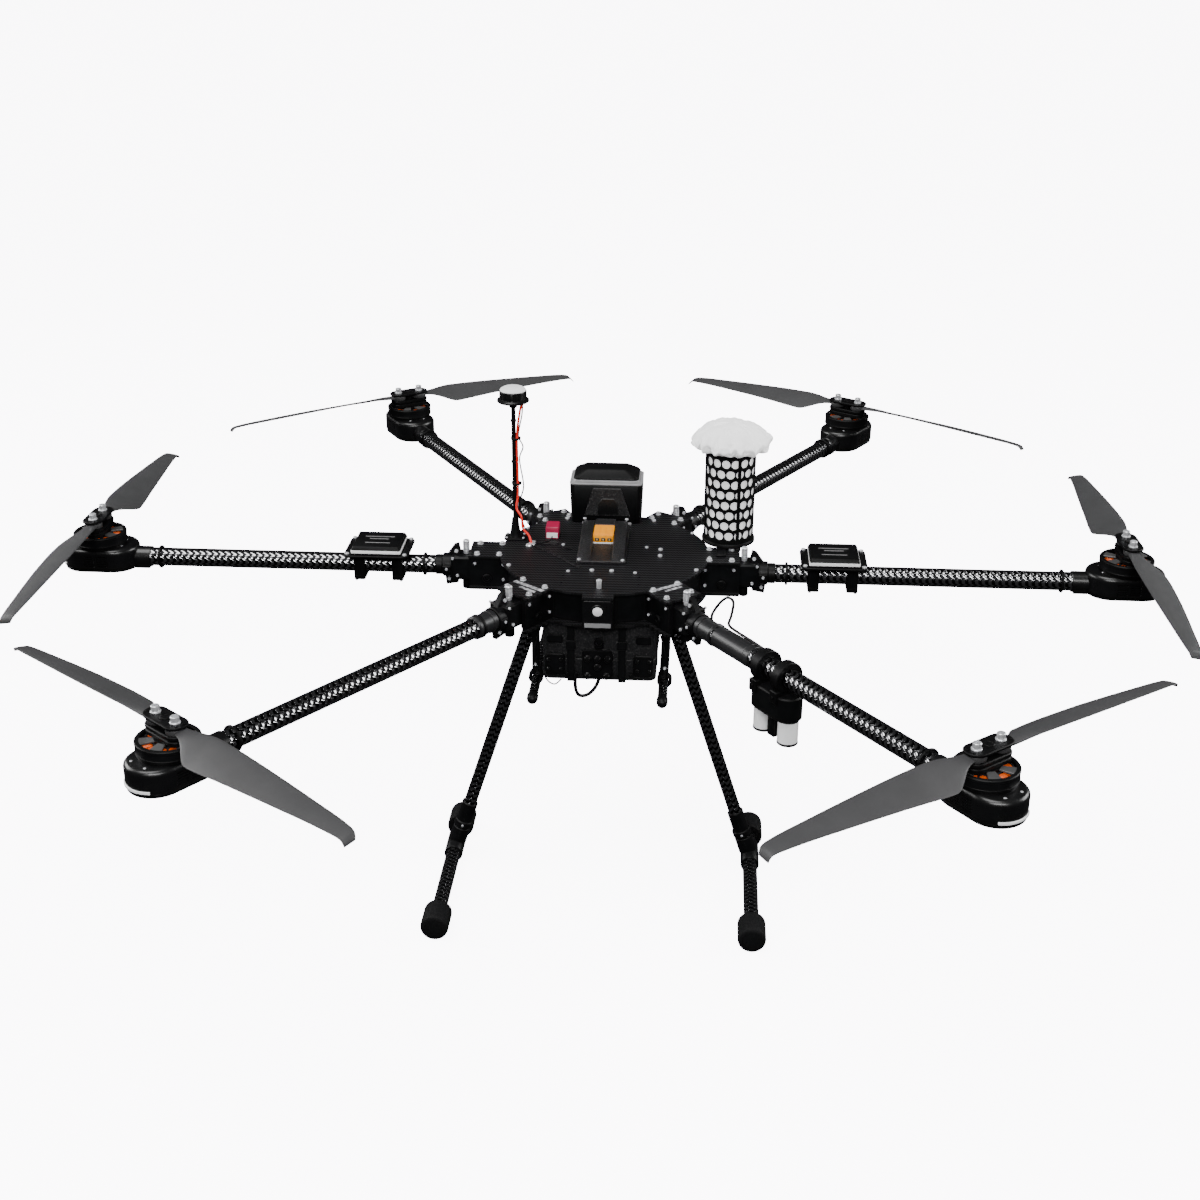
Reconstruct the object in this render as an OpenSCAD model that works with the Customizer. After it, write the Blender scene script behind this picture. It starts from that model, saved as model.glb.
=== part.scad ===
/* [Airframe] */
// Distance from the hub axis to the left and right motor axes
side_reach = 693; // [670:1:720]
// Distance from the hub axis to the two front motor axes
front_reach = 713; // [690:1:740]
// Distance from the hub axis to the two rear motor axes
rear_reach = 692; // [675:1:720]
// Angle of the front arms from the left-right line
front_angle = 53; // [51:0.5:56]
// Angle of the rear arms from the left-right line
rear_angle = 58.3; // [56:0.1:60]
// Height of the arm tubes above the ground
arm_z = 440; // [430:1:460]
// Outer diameter of the arm tubes
tube_d = 25; // [24:0.5:26]

/* [Hub] */
// Radius of the round part of both carbon plates
plate_r = 141; // [138:1:146]
// Thickness of each carbon plate
plate_t = 3; // [2:0.5:4]
// Free height between the two plates
deck_gap = 42; // [40:1:46]
// Width of the six wings of the plates
wing_w = 54; // [50:1:60]
// Reach of the side and front wings from the hub axis
wing_reach = 182; // [178:1:186]
// Reach of the rear wings from the hub axis
rear_wing_reach = 170; // [166:1:174]

/* [Rotors] */
// Propeller radius from the motor axis to the blade tip
prop_r = 305; // [280:1:312]
// Widest chord of a blade
blade_chord = 47; // [40:1:52]
// Distance between the two blade bolts
bolt_pitch = 36; // [34:1:40]
// Outer diameter of the motor bell
bell_d = 71; // [66:1:74]

/* [Landing gear] */
// Diameter of the leg tubes
leg_d = 18; // [16:1:20]
// Diameter of the skid tubes
skid_d = 20; // [16:1:22]
// Diameter of the foam feet
foot_d = 38; // [32:1:44]
// Half of the distance between the two skids
skid_x = 211; // [190:1:230]

/* [Equipment] */
// Width of the equipment bay
bay_w = 150; // [130:2:150]
// Height of the equipment bay
bay_h = 87; // [70:1:88]
// Diameter of the parachute canister
canister_d = 68; // [60:1:70]
// Length of the perforated canister tube
canister_h = 125; // [100:1:140]
// Height of the antenna mast rod
mast_h = 166; // [120:1:180]
// Diameter of the payload rails
rail_d = 12.6; // [10:0.2:14]

/* [Hidden] */
$fn = 48;
eps = 0.01;
running = 0.05;              // radial clearance of a shaft in its bore
air = 0.3;                   // space between faces of different moving bodies
shift_y = 7;                 // puts the origin under the middle of the overall footprint

tube_r = tube_d / 2;
tube_wall = 1.5;
top_z = arm_z + deck_gap / 2;                 // underside of the top plate
deck_z = top_z + plate_t;                     // upper face of the top plate
floor_z = arm_z - deck_gap / 2;               // upper face of the bottom plate
belly_z = floor_z - plate_t;                  // underside of the bottom plate

// One row per arm: name, heading, motor reach, wing reach, hand, blade line from the arm line
ARMS = [
    ["front_right", -front_angle, front_reach, wing_reach, 1, 92.4],
    ["right", 0, side_reach, wing_reach, 1, 92.4],
    ["rear_right", rear_angle, rear_reach, rear_wing_reach, 1, 89.8],
    ["rear_left", 180 - rear_angle, rear_reach, rear_wing_reach, -1, 89.8],
    ["left", 180, side_reach, wing_reach, -1, 92.4],
    ["front_left", 180 + front_angle, front_reach, wing_reach, -1, 92.4],
];
ARM_PARTS = ["arm", "pod", "rotor", "blade_a", "blade_b", "pin"];
SIDES = [["left", -1], ["right", 1]];

// Heights below are measured from the arm tube axis
hinge_drop = 9;              // the fold hinge lies this far below the tube axis
hinge_back = 24;             // and this far inboard of the wing's end
hinge_pin_r = 4;
barrel_r = 17;
root_w = 32;                 // width of the moving root block
cheek_t = 5.5;
lock_out = 30;               // the pull pin stands this far outboard of the hinge
lock_r = 3;
tube_start = 38;             // the tube starts this far outboard of the hinge
root_len = 62;

pod_len = 104;
pod_w = 66;
pod_top = 19;
pod_floor = -8;
pod_bottom = -13;
bell_bottom = 21.5;
bell_top = 36;
block_top = 48;
blade_gap = 8;
clamp_z = block_top + blade_gap;
clamp_t = 3.5;
bolt_r = 4;
boss_r = 11.5;
blade_mid = block_top + blade_gap / 2;
blade_len = prop_r - bolt_pitch / 2;

rail_x = 84.6;
rail_z = 320;
rail_front = -157;
rail_back = 112;
bay_front = -116;
bay_back = 104;
bay_z = belly_z - bay_h;

leg_pivot = [89, -40, 398];
leg_pin_r = 4;
leg_barrel_r = 11;
leg_block_w = 24;
skid_z = foot_d / 2;
skid_front = -250;
skid_back = 50;
foot_len = 42;
leg_run = skid_x - leg_pivot[0];
leg_fall = leg_pivot[2] - skid_z;
leg_tilt = atan2(leg_run, leg_fall);
leg_len = sqrt(leg_run * leg_run + leg_fall * leg_fall);

hood_x = -5;
hood_front = 103;
mast_at = [-125.5, 42];
canister_at = [166, 50];
canister_z = deck_z + 9;

carbon = "#26262a";
black = "#1a1a1d";
dark_grey = "#4a4a4e";
steel = "#d4d6d8";

// ---- helpers ----

module hub() { translate([0, shift_y, 0]) children(); }

// Local frame of an arm: X runs out along the tube, Z = 0 is the tube axis
module on_arm(a) { hub() translate([0, 0, arm_z]) rotate([0, 0, a[1]]) children(); }

// Local frame of a rotor: X runs along the two blades
module on_rotor(a) { on_arm(a) translate([a[2], 0, 0]) rotate([0, 0, a[4] * a[5]]) children(); }

// Flat stadium centred on the origin, long along X
module stadium(len, wide) {
    square([len - wide, wide], center = true);
    for (s = [-1, 1]) translate([s * (len - wide) / 2, 0]) circle(d = wide);
}

module rounded_rect(x, y, r) {
    square([x - 2 * r, y], center = true);
    square([x, y - 2 * r], center = true);
    for (sx = [-1, 1], sy = [-1, 1]) translate([sx * (x / 2 - r), sy * (y / 2 - r)]) circle(r = r);
}

module ring(outer, inner, high) {
    difference() {
        cylinder(r = outer, h = high);
        translate([0, 0, -1]) cylinder(r = inner, h = high + 2);
    }
}

// Cylinder along X, from x0 to x1
module x_rod(r, x0, x1) { translate([x0, 0, 0]) rotate([0, 90, 0]) cylinder(r = r, h = x1 - x0); }

// Cylinder along Y, centred
module y_rod(r, len) { rotate([90, 0, 0]) cylinder(r = r, h = len, center = true); }

// Cap screw standing on z = 0 with its shank below
module screw(head_r, head_h, shank_r, shank_len) {
    cylinder(r = head_r, h = head_h);
    translate([0, 0, -shank_len]) cylinder(r = shank_r, h = shank_len + eps);
}

function unit(v) = v / norm(v);
function tangent(p, i) = unit(p[min(i + 1, len(p) - 1)] - p[max(i - 1, 0)]);
function side_of(t) = unit(cross(t, abs(t[2]) > 0.9 ? [1, 0, 0] : [0, 0, 1]));

// Smooth points through hand-chosen ones, steps per stretch
function spline(p, steps) = concat(
    [for (i = [0:len(p) - 2]) for (k = [0:steps - 1]) let (
        a = p[max(i - 1, 0)], b = p[i], c = p[i + 1], d = p[min(i + 2, len(p) - 1)], t = k / steps)
        0.5 * (2 * b + (c - a) * t + (2 * a - 5 * b + 4 * c - d) * t * t
            + (3 * b - a - 3 * c + d) * t * t * t)],
    [p[len(p) - 1]]);

// Lead of radius r along the points p
module lead(p, r, sides = 8) {
    rings = [for (i = [0:len(p) - 1]) let (t = tangent(p, i), u = side_of(t), v = cross(t, u))
        for (k = [0:sides - 1]) p[i] + r * (cos(360 * k / sides) * u + sin(360 * k / sides) * v)];
    last = (len(p) - 1) * sides;
    faces = concat(
        [[for (k = [0:sides - 1]) sides - 1 - k]],
        [for (i = [0:len(p) - 2]) for (k = [0:sides - 1]) let (n = (k + 1) % sides)
            [i * sides + k, i * sides + n, (i + 1) * sides + n, (i + 1) * sides + k]],
        [[for (k = [0:sides - 1]) last + k]]);
    polyhedron(points = rings, faces = [for (f = faces) [for (j = [len(f) - 1:-1:0]) f[j]]]);
}

// ---- hub ----

module wing_outline(reach, wide) { translate([0, -wide / 2]) square([reach, wide]); }

module star_outline() {
    circle(r = plate_r, $fn = 96);
    for (a = ARMS) rotate(a[1]) wing_outline(a[3], wing_w);
}

// Screw places on one wing, in the arm's frame; on the short rear wings they keep clear of the hood
function wing_screws(reach) =
    [for (back = [11, reach < wing_reach ? 28 : 41], s = [-1, 1]) [reach - back, s * 19]];
// Four free holes for accessories, in front of the connector block
FREE_HOLES = [for (x = [-50, 50], y = [-107, -83]) [x, y]];
DECK_SCREWS = [[-124, -56], [124, -56], [-60, 118], [62, 118],
    [75, 12], [75, -10], [-13, -66], [13, -66]];

module top_plate() {
    color(carbon) hub() difference() {
        translate([0, 0, top_z]) linear_extrude(plate_t) {
            star_outline();
            translate([-20, -152]) square([40, 30]);
        }
        for (a = ARMS) rotate([0, 0, a[1]]) for (p = wing_screws(a[3]))
            translate([p[0], p[1], top_z - 1]) cylinder(r = 1.6, h = plate_t + 2);
        for (p = concat(DECK_SCREWS, FREE_HOLES))
            translate([p[0], p[1], top_z - 1]) cylinder(r = 1.6, h = plate_t + 2);
    }
}

module bottom_plate() {
    slot_half = root_w / 2 + 0.5;
    color(carbon) hub() difference() {
        translate([0, 0, belly_z]) linear_extrude(plate_t) star_outline();
        for (a = ARMS) rotate([0, 0, a[1]])
            translate([a[3] - hinge_back - barrel_r - 3, -slot_half, belly_z - 1])
                cube([80, 2 * slot_half, plate_t + 2]);
    }
}

// Two cheeks that carry one arm's fold hinge
module hinge_cheeks(reach) {
    inner = root_w / 2 + air;
    difference() {
        for (s = [-1, 1]) translate([125, s > 0 ? inner : -inner - cheek_t, -deck_gap / 2])
            cube([reach - 125, cheek_t, deck_gap]);
        translate([reach - hinge_back, 0, -hinge_drop]) y_rod(hinge_pin_r + running, 60);
        for (p = wing_screws(reach)) translate([p[0], p[1], deck_gap / 2 - 10]) cylinder(r = 1.5, h = 11);
    }
}

// Fork under the plate that carries a leg
module leg_fork() {
    half = leg_block_w / 2 + air;
    difference() {
        union() {
            for (s = [-1, 1]) translate([-13, s > 0 ? half : -half - 6, -12])
                cube([26, 6, belly_z - leg_pivot[2] + 12]);
            translate([-13, -half - 6, belly_z - leg_pivot[2] - 4]) cube([26, 2 * half + 12, 4]);
        }
        y_rod(leg_pin_r + running, 60);
    }
    for (s = [-1, 1]) translate([0, s * (half + 6.75), 0]) y_rod(7, 1.5);
    y_rod(leg_pin_r, 2 * half + 12);
}

module hub_frame() {
    color(black) hub() {
        translate([0, 0, floor_z]) difference() {
            cylinder(r = 131, h = deck_gap, $fn = 96);
            translate([0, 0, -1]) cylinder(r = 128, h = deck_gap + 2, $fn = 96);
            for (a = ARMS) rotate([0, 0, a[1]])
                translate([a[3] - hinge_back - barrel_r - 3, -root_w / 2 - air, -1])
                    cube([80, root_w + 2 * air, deck_gap / 2 - hinge_drop + barrel_r + 2]);
        }
        translate([0, 0, arm_z]) for (a = ARMS) rotate([0, 0, a[1]]) hinge_cheeks(a[3]);
        translate([-20, -151, floor_z]) cube([40, 22, deck_gap]);
        for (s = [-1, 1]) translate([s * leg_pivot[0], leg_pivot[1], leg_pivot[2]]) leg_fork();
    }
}

module deck_fasteners() {
    color(steel) hub() {
        for (a = ARMS) rotate([0, 0, a[1]]) for (p = wing_screws(a[3]))
            translate([p[0], p[1], deck_z]) screw(3.4, 2.6, 1.45, 9);
        for (p = DECK_SCREWS) translate([p[0], p[1], deck_z]) screw(3, 2.4, 1.5, plate_t);
        translate([0, -122, deck_z]) screw(3.2, 12, 1.5, 0);
        for (a = ARMS) rotate([0, 0, a[1]]) translate([a[3] - hinge_back, 0, arm_z - hinge_drop]) {
            span = root_w + 2 * (air + cheek_t);
            y_rod(hinge_pin_r, span);
            for (s = [-1, 1]) translate([0, s * (span / 2 + 1.5), 0]) y_rod(6, 3);
        }
    }
}

module flight_controller() {
    color(dark_grey) hub() translate([0, 20, floor_z]) {
        linear_extrude(4) rounded_rect(110, 80, 6);
        translate([0, 0, 4]) linear_extrude(16) rounded_rect(86, 56, 4);
    }
}

// ---- deck equipment ----

// Four-sided box between two heights, each end [x from centre, y0, y1, z]
module tapered(low, high) {
    hull() for (e = [low, high])
        translate([-e[0], e[1], e[3]]) cube([2 * e[0], e[2] - e[1], eps]);
}

module hood_body() {
    color(black) hub() translate([hood_x, hood_front, deck_z]) {
        difference() {
            tapered([49, 3, 58, 0], [51, 0, 60, 57]);
            tapered([46, 6, 55, 3], [48, 3, 57, 58]);
        }
        translate([0, -3, 2]) rotate([0, 90, 0]) cylinder(r = 2, h = 68, center = true);
    }
}

module hood_lid() {
    hub() translate([hood_x, hood_front, deck_z + 57]) {
        color("#b9bbbd") translate([-51, 0, eps]) cube([102, 60, 2]);
        color("#b9bbbd") translate([-46, 2, 2]) cube([92, 56, 9]);
        color(black) tapered([44, 4, 56, 11], [27, 13, 37, 20]);
    }
}

module connector_block() {
    cheek = [[-40, 4], [10, 16], [72, 20], [76, 4]];
    color(black) hub() translate([-3, 0, deck_z]) {
        translate([-33, -42, eps]) cube([66, 118, 4]);
        for (x = [-31, 14]) translate([x, 0, 0]) rotate([90, 0, 90]) linear_extrude(17) polygon(cheek);
        translate([-14, 0, 0]) rotate([90, 0, 90]) linear_extrude(28) polygon([[-40, 4], [14, 7], [14, 4]]);
        translate([-14, 53, 4]) cube([28, 23, 16]);
    }
}

module power_connector() {
    color("#f2b705") hub() translate([-17, 14.2, deck_z + 4.2]) difference() {
        cube([27.8, 38, 14.5]);
        translate([-1, -1, 12]) rotate([-20, 0, 0]) cube([30, 12, 8]);
        for (x = [5, 12, 19]) translate([x, -1, 3]) cube([3.4, 14, 7]);
    }
}

module charge_connector() {
    color("#8e1438") hub() translate([-84, 42, deck_z + eps]) difference() {
        cube([18, 24, 17]);
        for (x = [3, 10.5]) translate([x, -1, 5]) cube([3.5, 10, 7]);
    }
}

module mast() {
    color(black) hub() translate([mast_at[0], mast_at[1], deck_z]) {
        translate([0, 0, eps]) linear_extrude(3) rounded_rect(30, 22, 5);
        translate([0, 0, 3]) cylinder(r1 = 8, r2 = 4.5, h = 27);
        translate([0, 0, 3]) cylinder(r = 3, h = 27 + mast_h);
        for (z = [79, 143]) translate([0, 0, z]) cylinder(r = 4, h = 3);
    }
}

module mast_puck() {
    color(black) hub() translate([mast_at[0], mast_at[1], deck_z + 30 + mast_h + eps]) {
        cylinder(r = 21.5, h = 4);
        translate([0, 0, 4]) cylinder(r = 17.5, h = 12);
        translate([0, 0, 16]) cylinder(r1 = 17.5, r2 = 12, h = 4);
    }
}

// Leads that the drone holds from end to end
mast_x = mast_at[0];
mast_y = mast_at[1];
RED_LEAD = [[mast_x + 12, mast_y - 8, 659], [mast_x + 9, mast_y - 8, 645], [mast_x + 5, mast_y - 5, 615],
    [mast_x + 5, mast_y - 5, 570], [mast_x + 5, mast_y - 5, 530], [mast_x + 3, mast_y - 9, 512],
    [mast_x + 10, mast_y - 13, 500], [mast_x + 12, mast_y - 14, 484], [mast_x + 20, mast_y - 18, 476],
    [mast_x + 24, mast_y - 22, 466.5]];
BLACK_LEAD = [[mast_x + 12, mast_y + 8, 659], [mast_x + 11, mast_y + 4, 640], [mast_x + 6, mast_y + 3, 612],
    [mast_x + 12, mast_y + 2, 596], [mast_x + 7, mast_y + 2, 578], [mast_x + 12, mast_y + 2, 540],
    [mast_x + 6, mast_y + 2, 515], [mast_x + 10, mast_y - 2, 490], [mast_x + 16, mast_y - 2, 474],
    [mast_x + 20, mast_y - 10, 466]];
DECK_LEADS = [
    [[-104, 16, 465.6], [-80, -2, 465.8], [-58, -26, 465.6], [-40, -48, 465.8], [-26, -62, 465.6]],
    [[-100, 26, 465.6], [-84, 20, 465.8], [-66, 22, 465.6], [-58, 10, 465.8], [-44, 2, 465.6]],
    [[-75, 40, 468], [-76, 34, 466.5], [-80, 28, 465.8], [-92, 24, 465.6]],
];
BAY_LOOP = [[-30, -124, 342], [-31, -124, 330], [-30, -124, 318], [-26, -123, 310], [-18, -122, 309],
    [-10, -121, 314], [-4, -120, 322], [0, -118.6, 332]];
SIDE_LOOPS = [
    [[-72, -118, 334], [-66, -119, 326], [-58, -119, 323], [-50, -118, 330]],
    [[-77.5, -104, 400], [-83, -106, 380], [-86, -107, 362], [-83, -106, 345], [-77.5, -104, 336]],
    [[77.5, -104, 400], [83, -106, 380], [86, -107, 362], [83, -106, 345], [77.5, -104, 336]],
];

module held_cables() {
    hub() {
        color("#b51f18") lead(spline(RED_LEAD, 2), 1.6);
        color(black) lead(spline(BLACK_LEAD, 2), 1);
        for (p = DECK_LEADS) color(black) lead(spline(p, 2), 1);
        color(black) lead(spline(BAY_LOOP, 2), 2.4);
        for (p = SIDE_LOOPS) color(black) lead(spline(p, 2), 1);
    }
}

// ---- parachute ----

module parachute_tube() {
    rows = 8;
    around = 16;
    color(black) hub() {
        translate([canister_at[0], canister_at[1], canister_z]) {
            difference() {
                ring(canister_d / 2, canister_d / 2 - 1.6, canister_h);
                for (i = [0:rows - 1], k = [0:around / 2 - 1])
                    translate([0, 0, 10 + i * (canister_h - 17) / (rows - 1)])
                        rotate([90, 0, (k + (i % 2) / 2) * 360 / around])
                            cylinder(d = 11.5, h = canister_d + 4, center = true, $fn = 12);
            }
            translate([0, 0, -6]) cylinder(r = canister_d / 2 + 2, h = 6);
        }
        translate([150, -8, deck_z + eps]) cube([13, 36, 3 + eps]);
        translate([canister_at[0] + 10, 15, deck_z + eps]) cube([7, 12, 3 + eps]);
    }
}

module parachute_canopy() {
    rim = canister_h + 1;
    inside = canister_d / 2 - 1.6 - 0.6;
    color("#f2f2f0") hub() translate([canister_at[0], canister_at[1], canister_z])
        rotate_extrude() polygon([[0, 0], [inside, 0], [inside, rim], [44, rim + 2], [52, rim + 11],
            [50, rim + 22], [39, rim + 31], [20, rim + 36], [0, rim + 37]]);
}

// ---- bay and rails ----

module equipment_bay() {
    mid = (bay_front + bay_back) / 2;
    deep = bay_back - bay_front;
    color(black) hub() {
        difference() {
            translate([0, mid, bay_z]) linear_extrude(bay_h) rounded_rect(bay_w, deep, 10);
            translate([0, mid, bay_z + 2.5]) linear_extrude(bay_h) rounded_rect(bay_w - 5, deep - 5, 8);
        }
        translate([-17, bay_front - 4, bay_z + 8]) cube([34, 5, 34]);
        for (p = [[-10, 34], [10, 34], [0, 25], [-10, 14], [10, 14]])
            translate([p[0], bay_front - 4, bay_z + p[1]]) rotate([90, 0, 0]) cylinder(r = 4.6, h = 3);
        for (x = [-33, 25]) translate([x, bay_front - 2, bay_z - 1.5]) cube([8, 3, 44]);
        for (x = [-60, 42]) translate([x, bay_front - 5, bay_z + 12]) cube([18, 6, 24]);
        translate([0, bay_front - 2, bay_z + 56]) rotate([90, 0, 0]) ring(6.5, 4, 3);
        translate([-2, bay_front - 2, bay_z + 42]) cube([4, 2.2, 10]);
    }
}

module rail_hanger() {
    translate([-5, -6, 0]) cube([10, 12, belly_z - rail_z]);
    y_rod(10, 12);
}

// The rear ends are plain, so a clamp can be slid on from behind
module payload_rails() {
    color(black) hub() for (s = [-1, 1]) translate([s * rail_x, 0, rail_z]) {
        translate([0, (rail_front + rail_back) / 2, 0]) y_rod(rail_d / 2, rail_back - rail_front);
        translate([0, rail_front, 0]) sphere(r = 7.4);
        for (y = [-90, 80]) translate([s * 1.2, y, 0]) rail_hanger();
    }
}

// ---- arms ----

module root_block(a) {
    hinge = a[3] - hinge_back;
    half = root_w / 2;
    lug = [[36, 12], [40, 32], [46, 30], [58, 13]];
    lug_low = [[38, -12], [42, -25], [58, -28], [60, -12]];
    translate([hinge, 0, 0]) difference() {
        union() {
            translate([0, 0, -hinge_drop]) y_rod(barrel_r, root_w);
            translate([0, -half, -half]) cube([50, root_w, 2 * half + 1]);
            x_rod(16, 49, root_len);
            translate([0, 4, 0]) rotate([90, 0, 0]) linear_extrude(8) polygon(lug);
            translate([0, 4, 0]) rotate([90, 0, 0]) linear_extrude(8) polygon(lug_low);
            translate([lock_out, 0, -33]) cylinder(r = 6.5, h = 20);
        }
        translate([0, 0, -hinge_drop]) y_rod(hinge_pin_r + running, root_w + 4);
        x_rod(tube_r - eps, tube_start, root_len + 4);
        translate([lock_out, 0, -22]) cylinder(r = lock_r + running, h = 60);
    }
    for (p = [[43, 22], [54, -19]]) translate([hinge + p[0], 0, p[1]]) y_rod(2.4, 14);
}

module sleeve(x0, x1, r) {
    difference() {
        x_rod(r, x0, x1);
        x_rod(tube_r - eps, x0 - 1, x1 + 1);
    }
}

module arm(a) {
    start = a[3] - hinge_back + tube_start;
    root_end = a[3] - hinge_back + root_len;
    collar_len = sin(a[1]) < 0 ? 34 : 10;        // the front arms carry a long collar
    color(carbon) on_arm(a) {
        difference() {
            x_rod(tube_r, start + eps, a[2] - 40);
            x_rod(tube_r - tube_wall, start - 1, a[2] - 39);
        }
        root_block(a);
        sleeve(root_end - eps, root_end + collar_len, 13.8);
        if (a[0] == "front_right") sleeve(258, 330, 14.2);
        if (a[0] != "front_right") sleeve(243.5, 246.5, 16.6);
        sleeve(a[2] - 84, a[2] - 81, 16.6);
    }
}

// Curved lamp bar round the outer end of a pod
module lamp_bar() {
    intersection() {
        ring(pod_w / 2 + 1.2, pod_w / 2 - 1, 3.6);
        translate([0, 0, -1]) linear_extrude(6) polygon([[0, 0], [60, -40], [60, 40]]);
    }
}

module pod(a) {
    straight = pod_len - pod_w;
    on_arm(a) translate([a[2], 0, 0]) {
        color(black) difference() {
            union() {
                translate([0, 0, pod_floor]) linear_extrude(pod_top - pod_floor - 5)
                    stadium(pod_len, pod_w);
                hull() for (s = [-1, 1]) translate([s * straight / 2, 0, pod_top - 5])
                    cylinder(r1 = pod_w / 2, r2 = pod_w / 2 - 4, h = 5);
                x_rod(14, -68, -44);
            }
            translate([0, 0, pod_floor - 1]) linear_extrude(20) stadium(pod_len - 6, pod_w - 6);
            x_rod(tube_r + running, -70, -39.5);
            for (s = [-1, 1], x = [-15, 3], z = [-4, 0, 4, 8])
                translate([x, s * (pod_w / 2) - 1, z]) cube([13, 2, 1.6]);
        }
        color(black) difference() {
            translate([0, 0, pod_bottom]) linear_extrude(pod_floor - pod_bottom + eps)
                stadium(pod_len - 2, pod_w - 2);
            x_rod(14 + eps, -70, -43);
            x_rod(tube_r + running, -70, -39.5);
        }
        color(black) for (sx = [-1, 1], sy = [-1, 1])
            translate([sx * 30, sy * 20, pod_bottom - 2]) cylinder(r = 2.4, h = 2 + eps);
        color("white") translate([straight / 2, 0, pod_floor + 0.6]) lamp_bar();
        color("#c8591c") translate([0, 0, pod_top - eps]) difference() {
            union() {
                cylinder(r = 34, h = 2);
                cylinder(r = 28, h = 13.5);
            }
            translate([0, 0, -1]) cylinder(r = 3 + running, h = 20);
        }
    }
}

module rotor(a) {
    half = bolt_pitch / 2;
    color(black) on_rotor(a) {
        difference() {
            translate([0, 0, bell_bottom]) cylinder(d = bell_d, h = bell_top - bell_bottom);
            translate([0, 0, bell_bottom - 1]) cylinder(d = bell_d - 9, h = bell_top - bell_bottom - 1.4);
            for (k = [0:5]) rotate(30 + 60 * k) translate([0, 0, bell_top - 6]) linear_extrude(8)
                polygon([[15, -4], [28, -12], [30.5, 0], [28, 12], [15, 4]]);
        }
        translate([0, 0, pod_top + 1]) cylinder(r = 3, h = bell_top - pod_top - 1);
        translate([0, 0, bell_top - eps]) linear_extrude(block_top - bell_top) stadium(62, 26);
        translate([0, 0, block_top - 1]) cylinder(r = 5, h = blade_gap + 2);
        translate([0, 0, clamp_z]) linear_extrude(clamp_t) stadium(bolt_pitch + 28, 28);
        translate([0, 0, clamp_z + clamp_t - eps]) cylinder(r = 6.5, h = 1.2);
    }
    color(steel) on_rotor(a) for (s = [-1, 1]) translate([s * half, 0, 0]) difference() {
        union() {
            translate([0, 0, block_top - 2]) cylinder(r = bolt_r, h = blade_gap + clamp_t + 3);
            translate([0, 0, clamp_z + clamp_t - eps]) cylinder(r = 6, h = 1.5);
            translate([0, 0, clamp_z + clamp_t + 1]) cylinder(r = 4.8, h = 6.5);
        }
        translate([0, 0, clamp_z + clamp_t + 4]) cylinder(r = 2.5, h = 6, $fn = 6);
    }
}

// Stations of a blade: distance from its bolt, chord, leading edge, pitch, thickness, drop
function blade_station(x, chord, lead, pitch, thick, drop) = [
    for (p = [[0, 0], [0.06, 0.55], [0.3, 1], [0.62, 0.7], [1, 0.06],
              [1, -0.06], [0.62, -0.3], [0.3, -0.5], [0.06, -0.4]])
        let (y = lead - p[0] * chord, z = p[1] * thick / 2)
        [x, y * cos(pitch) - z * sin(pitch), y * sin(pitch) + z * cos(pitch) - drop]];
c = blade_chord;
tip = blade_len;
BLADE = [
    blade_station(7, 15, 7.5, 0, 7, 0),
    blade_station(18, 19, 9, 7, 7, 0),
    blade_station(28, 30, 11, 15, 6.5, 0),
    blade_station(40, c - 3, 13, 19, 6, 0),
    blade_station(60, c, 15, 20, 5, 0.3),
    blade_station(100, c - 3, 15, 17, 4, 1),
    blade_station(150, c - 9, 14, 14, 3.4, 2.5),
    blade_station(200, c - 16, 12.5, 12, 3, 4.5),
    blade_station(245, c - 23, 11, 10, 2.5, 6.5),
    blade_station(tip - 12, c - 29, 9, 9, 2.2, 8.5),
    blade_station(tip - 4, c - 32, 7, 9, 2, 10),
    blade_station(tip, c - 36, 3, 9, 1.6, 16),
];

module blade_skin() {
    n = len(BLADE[0]);
    rows = len(BLADE);
    points = [for (s = BLADE) for (p = s) p];
    faces = concat(
        [[for (k = [0:n - 1]) k]],
        [for (i = [0:rows - 2]) for (k = [0:n - 1]) let (m = (k + 1) % n)
            each [[i * n + k, (i + 1) * n + k, (i + 1) * n + m],
                  [i * n + k, (i + 1) * n + m, i * n + m]]],
        [[for (k = [n - 1:-1:0]) (rows - 1) * n + k]]);
    polyhedron(points = points, faces = faces);
}

module blade(a, end) {
    color(dark_grey) on_rotor(a) rotate([0, 0, end]) translate([bolt_pitch / 2, 0, blade_mid])
        difference() {
            union() {
                cylinder(r = boss_r, h = blade_gap - 2 * air, center = true);
                mirror([0, a[4] > 0 ? 1 : 0, 0]) blade_skin();
            }
            cylinder(r = bolt_r + running, h = 20, center = true);
        }
}

module pin(a) {
    color(steel) on_arm(a) translate([a[3] - hinge_back + lock_out, 0, 0]) {
        translate([0, 0, -12]) cylinder(r = lock_r, h = 32);
        translate([0, 0, 17.3]) cylinder(r = 4, h = 4);
        translate([0, 0, 21]) cylinder(r = 4.6, h = 14);
        translate([0, 0, 35]) cylinder(r1 = 4.6, r2 = 3.4, h = 2);
    }
}

// ---- equipment on the arms ----

module position_box(a) {
    color(black) on_arm(a) translate([307, 0, 0]) {
        for (x = [-26, 26]) difference() {
            translate([x - 7.5, -17, -19]) cube([15, 34, 39]);
            x_rod(tube_r + running, -40, 40);
        }
        translate([0, 0, 20 - eps]) linear_extrude(3) rounded_rect(88, 70, 9);
        translate([0, 0, 23 - 2 * eps]) linear_extrude(8) rounded_rect(68, 62, 2);
        translate([0, 0, 31 - 3 * eps]) tapered([34, -31, 31, 0], [31, -28, 28, 3]);
        for (sx = [-1, 1], sy = [-1, 1]) translate([sx * 39, sy * 29, 23 - 2 * eps]) cylinder(r = 3, h = 2);
    }
}

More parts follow.
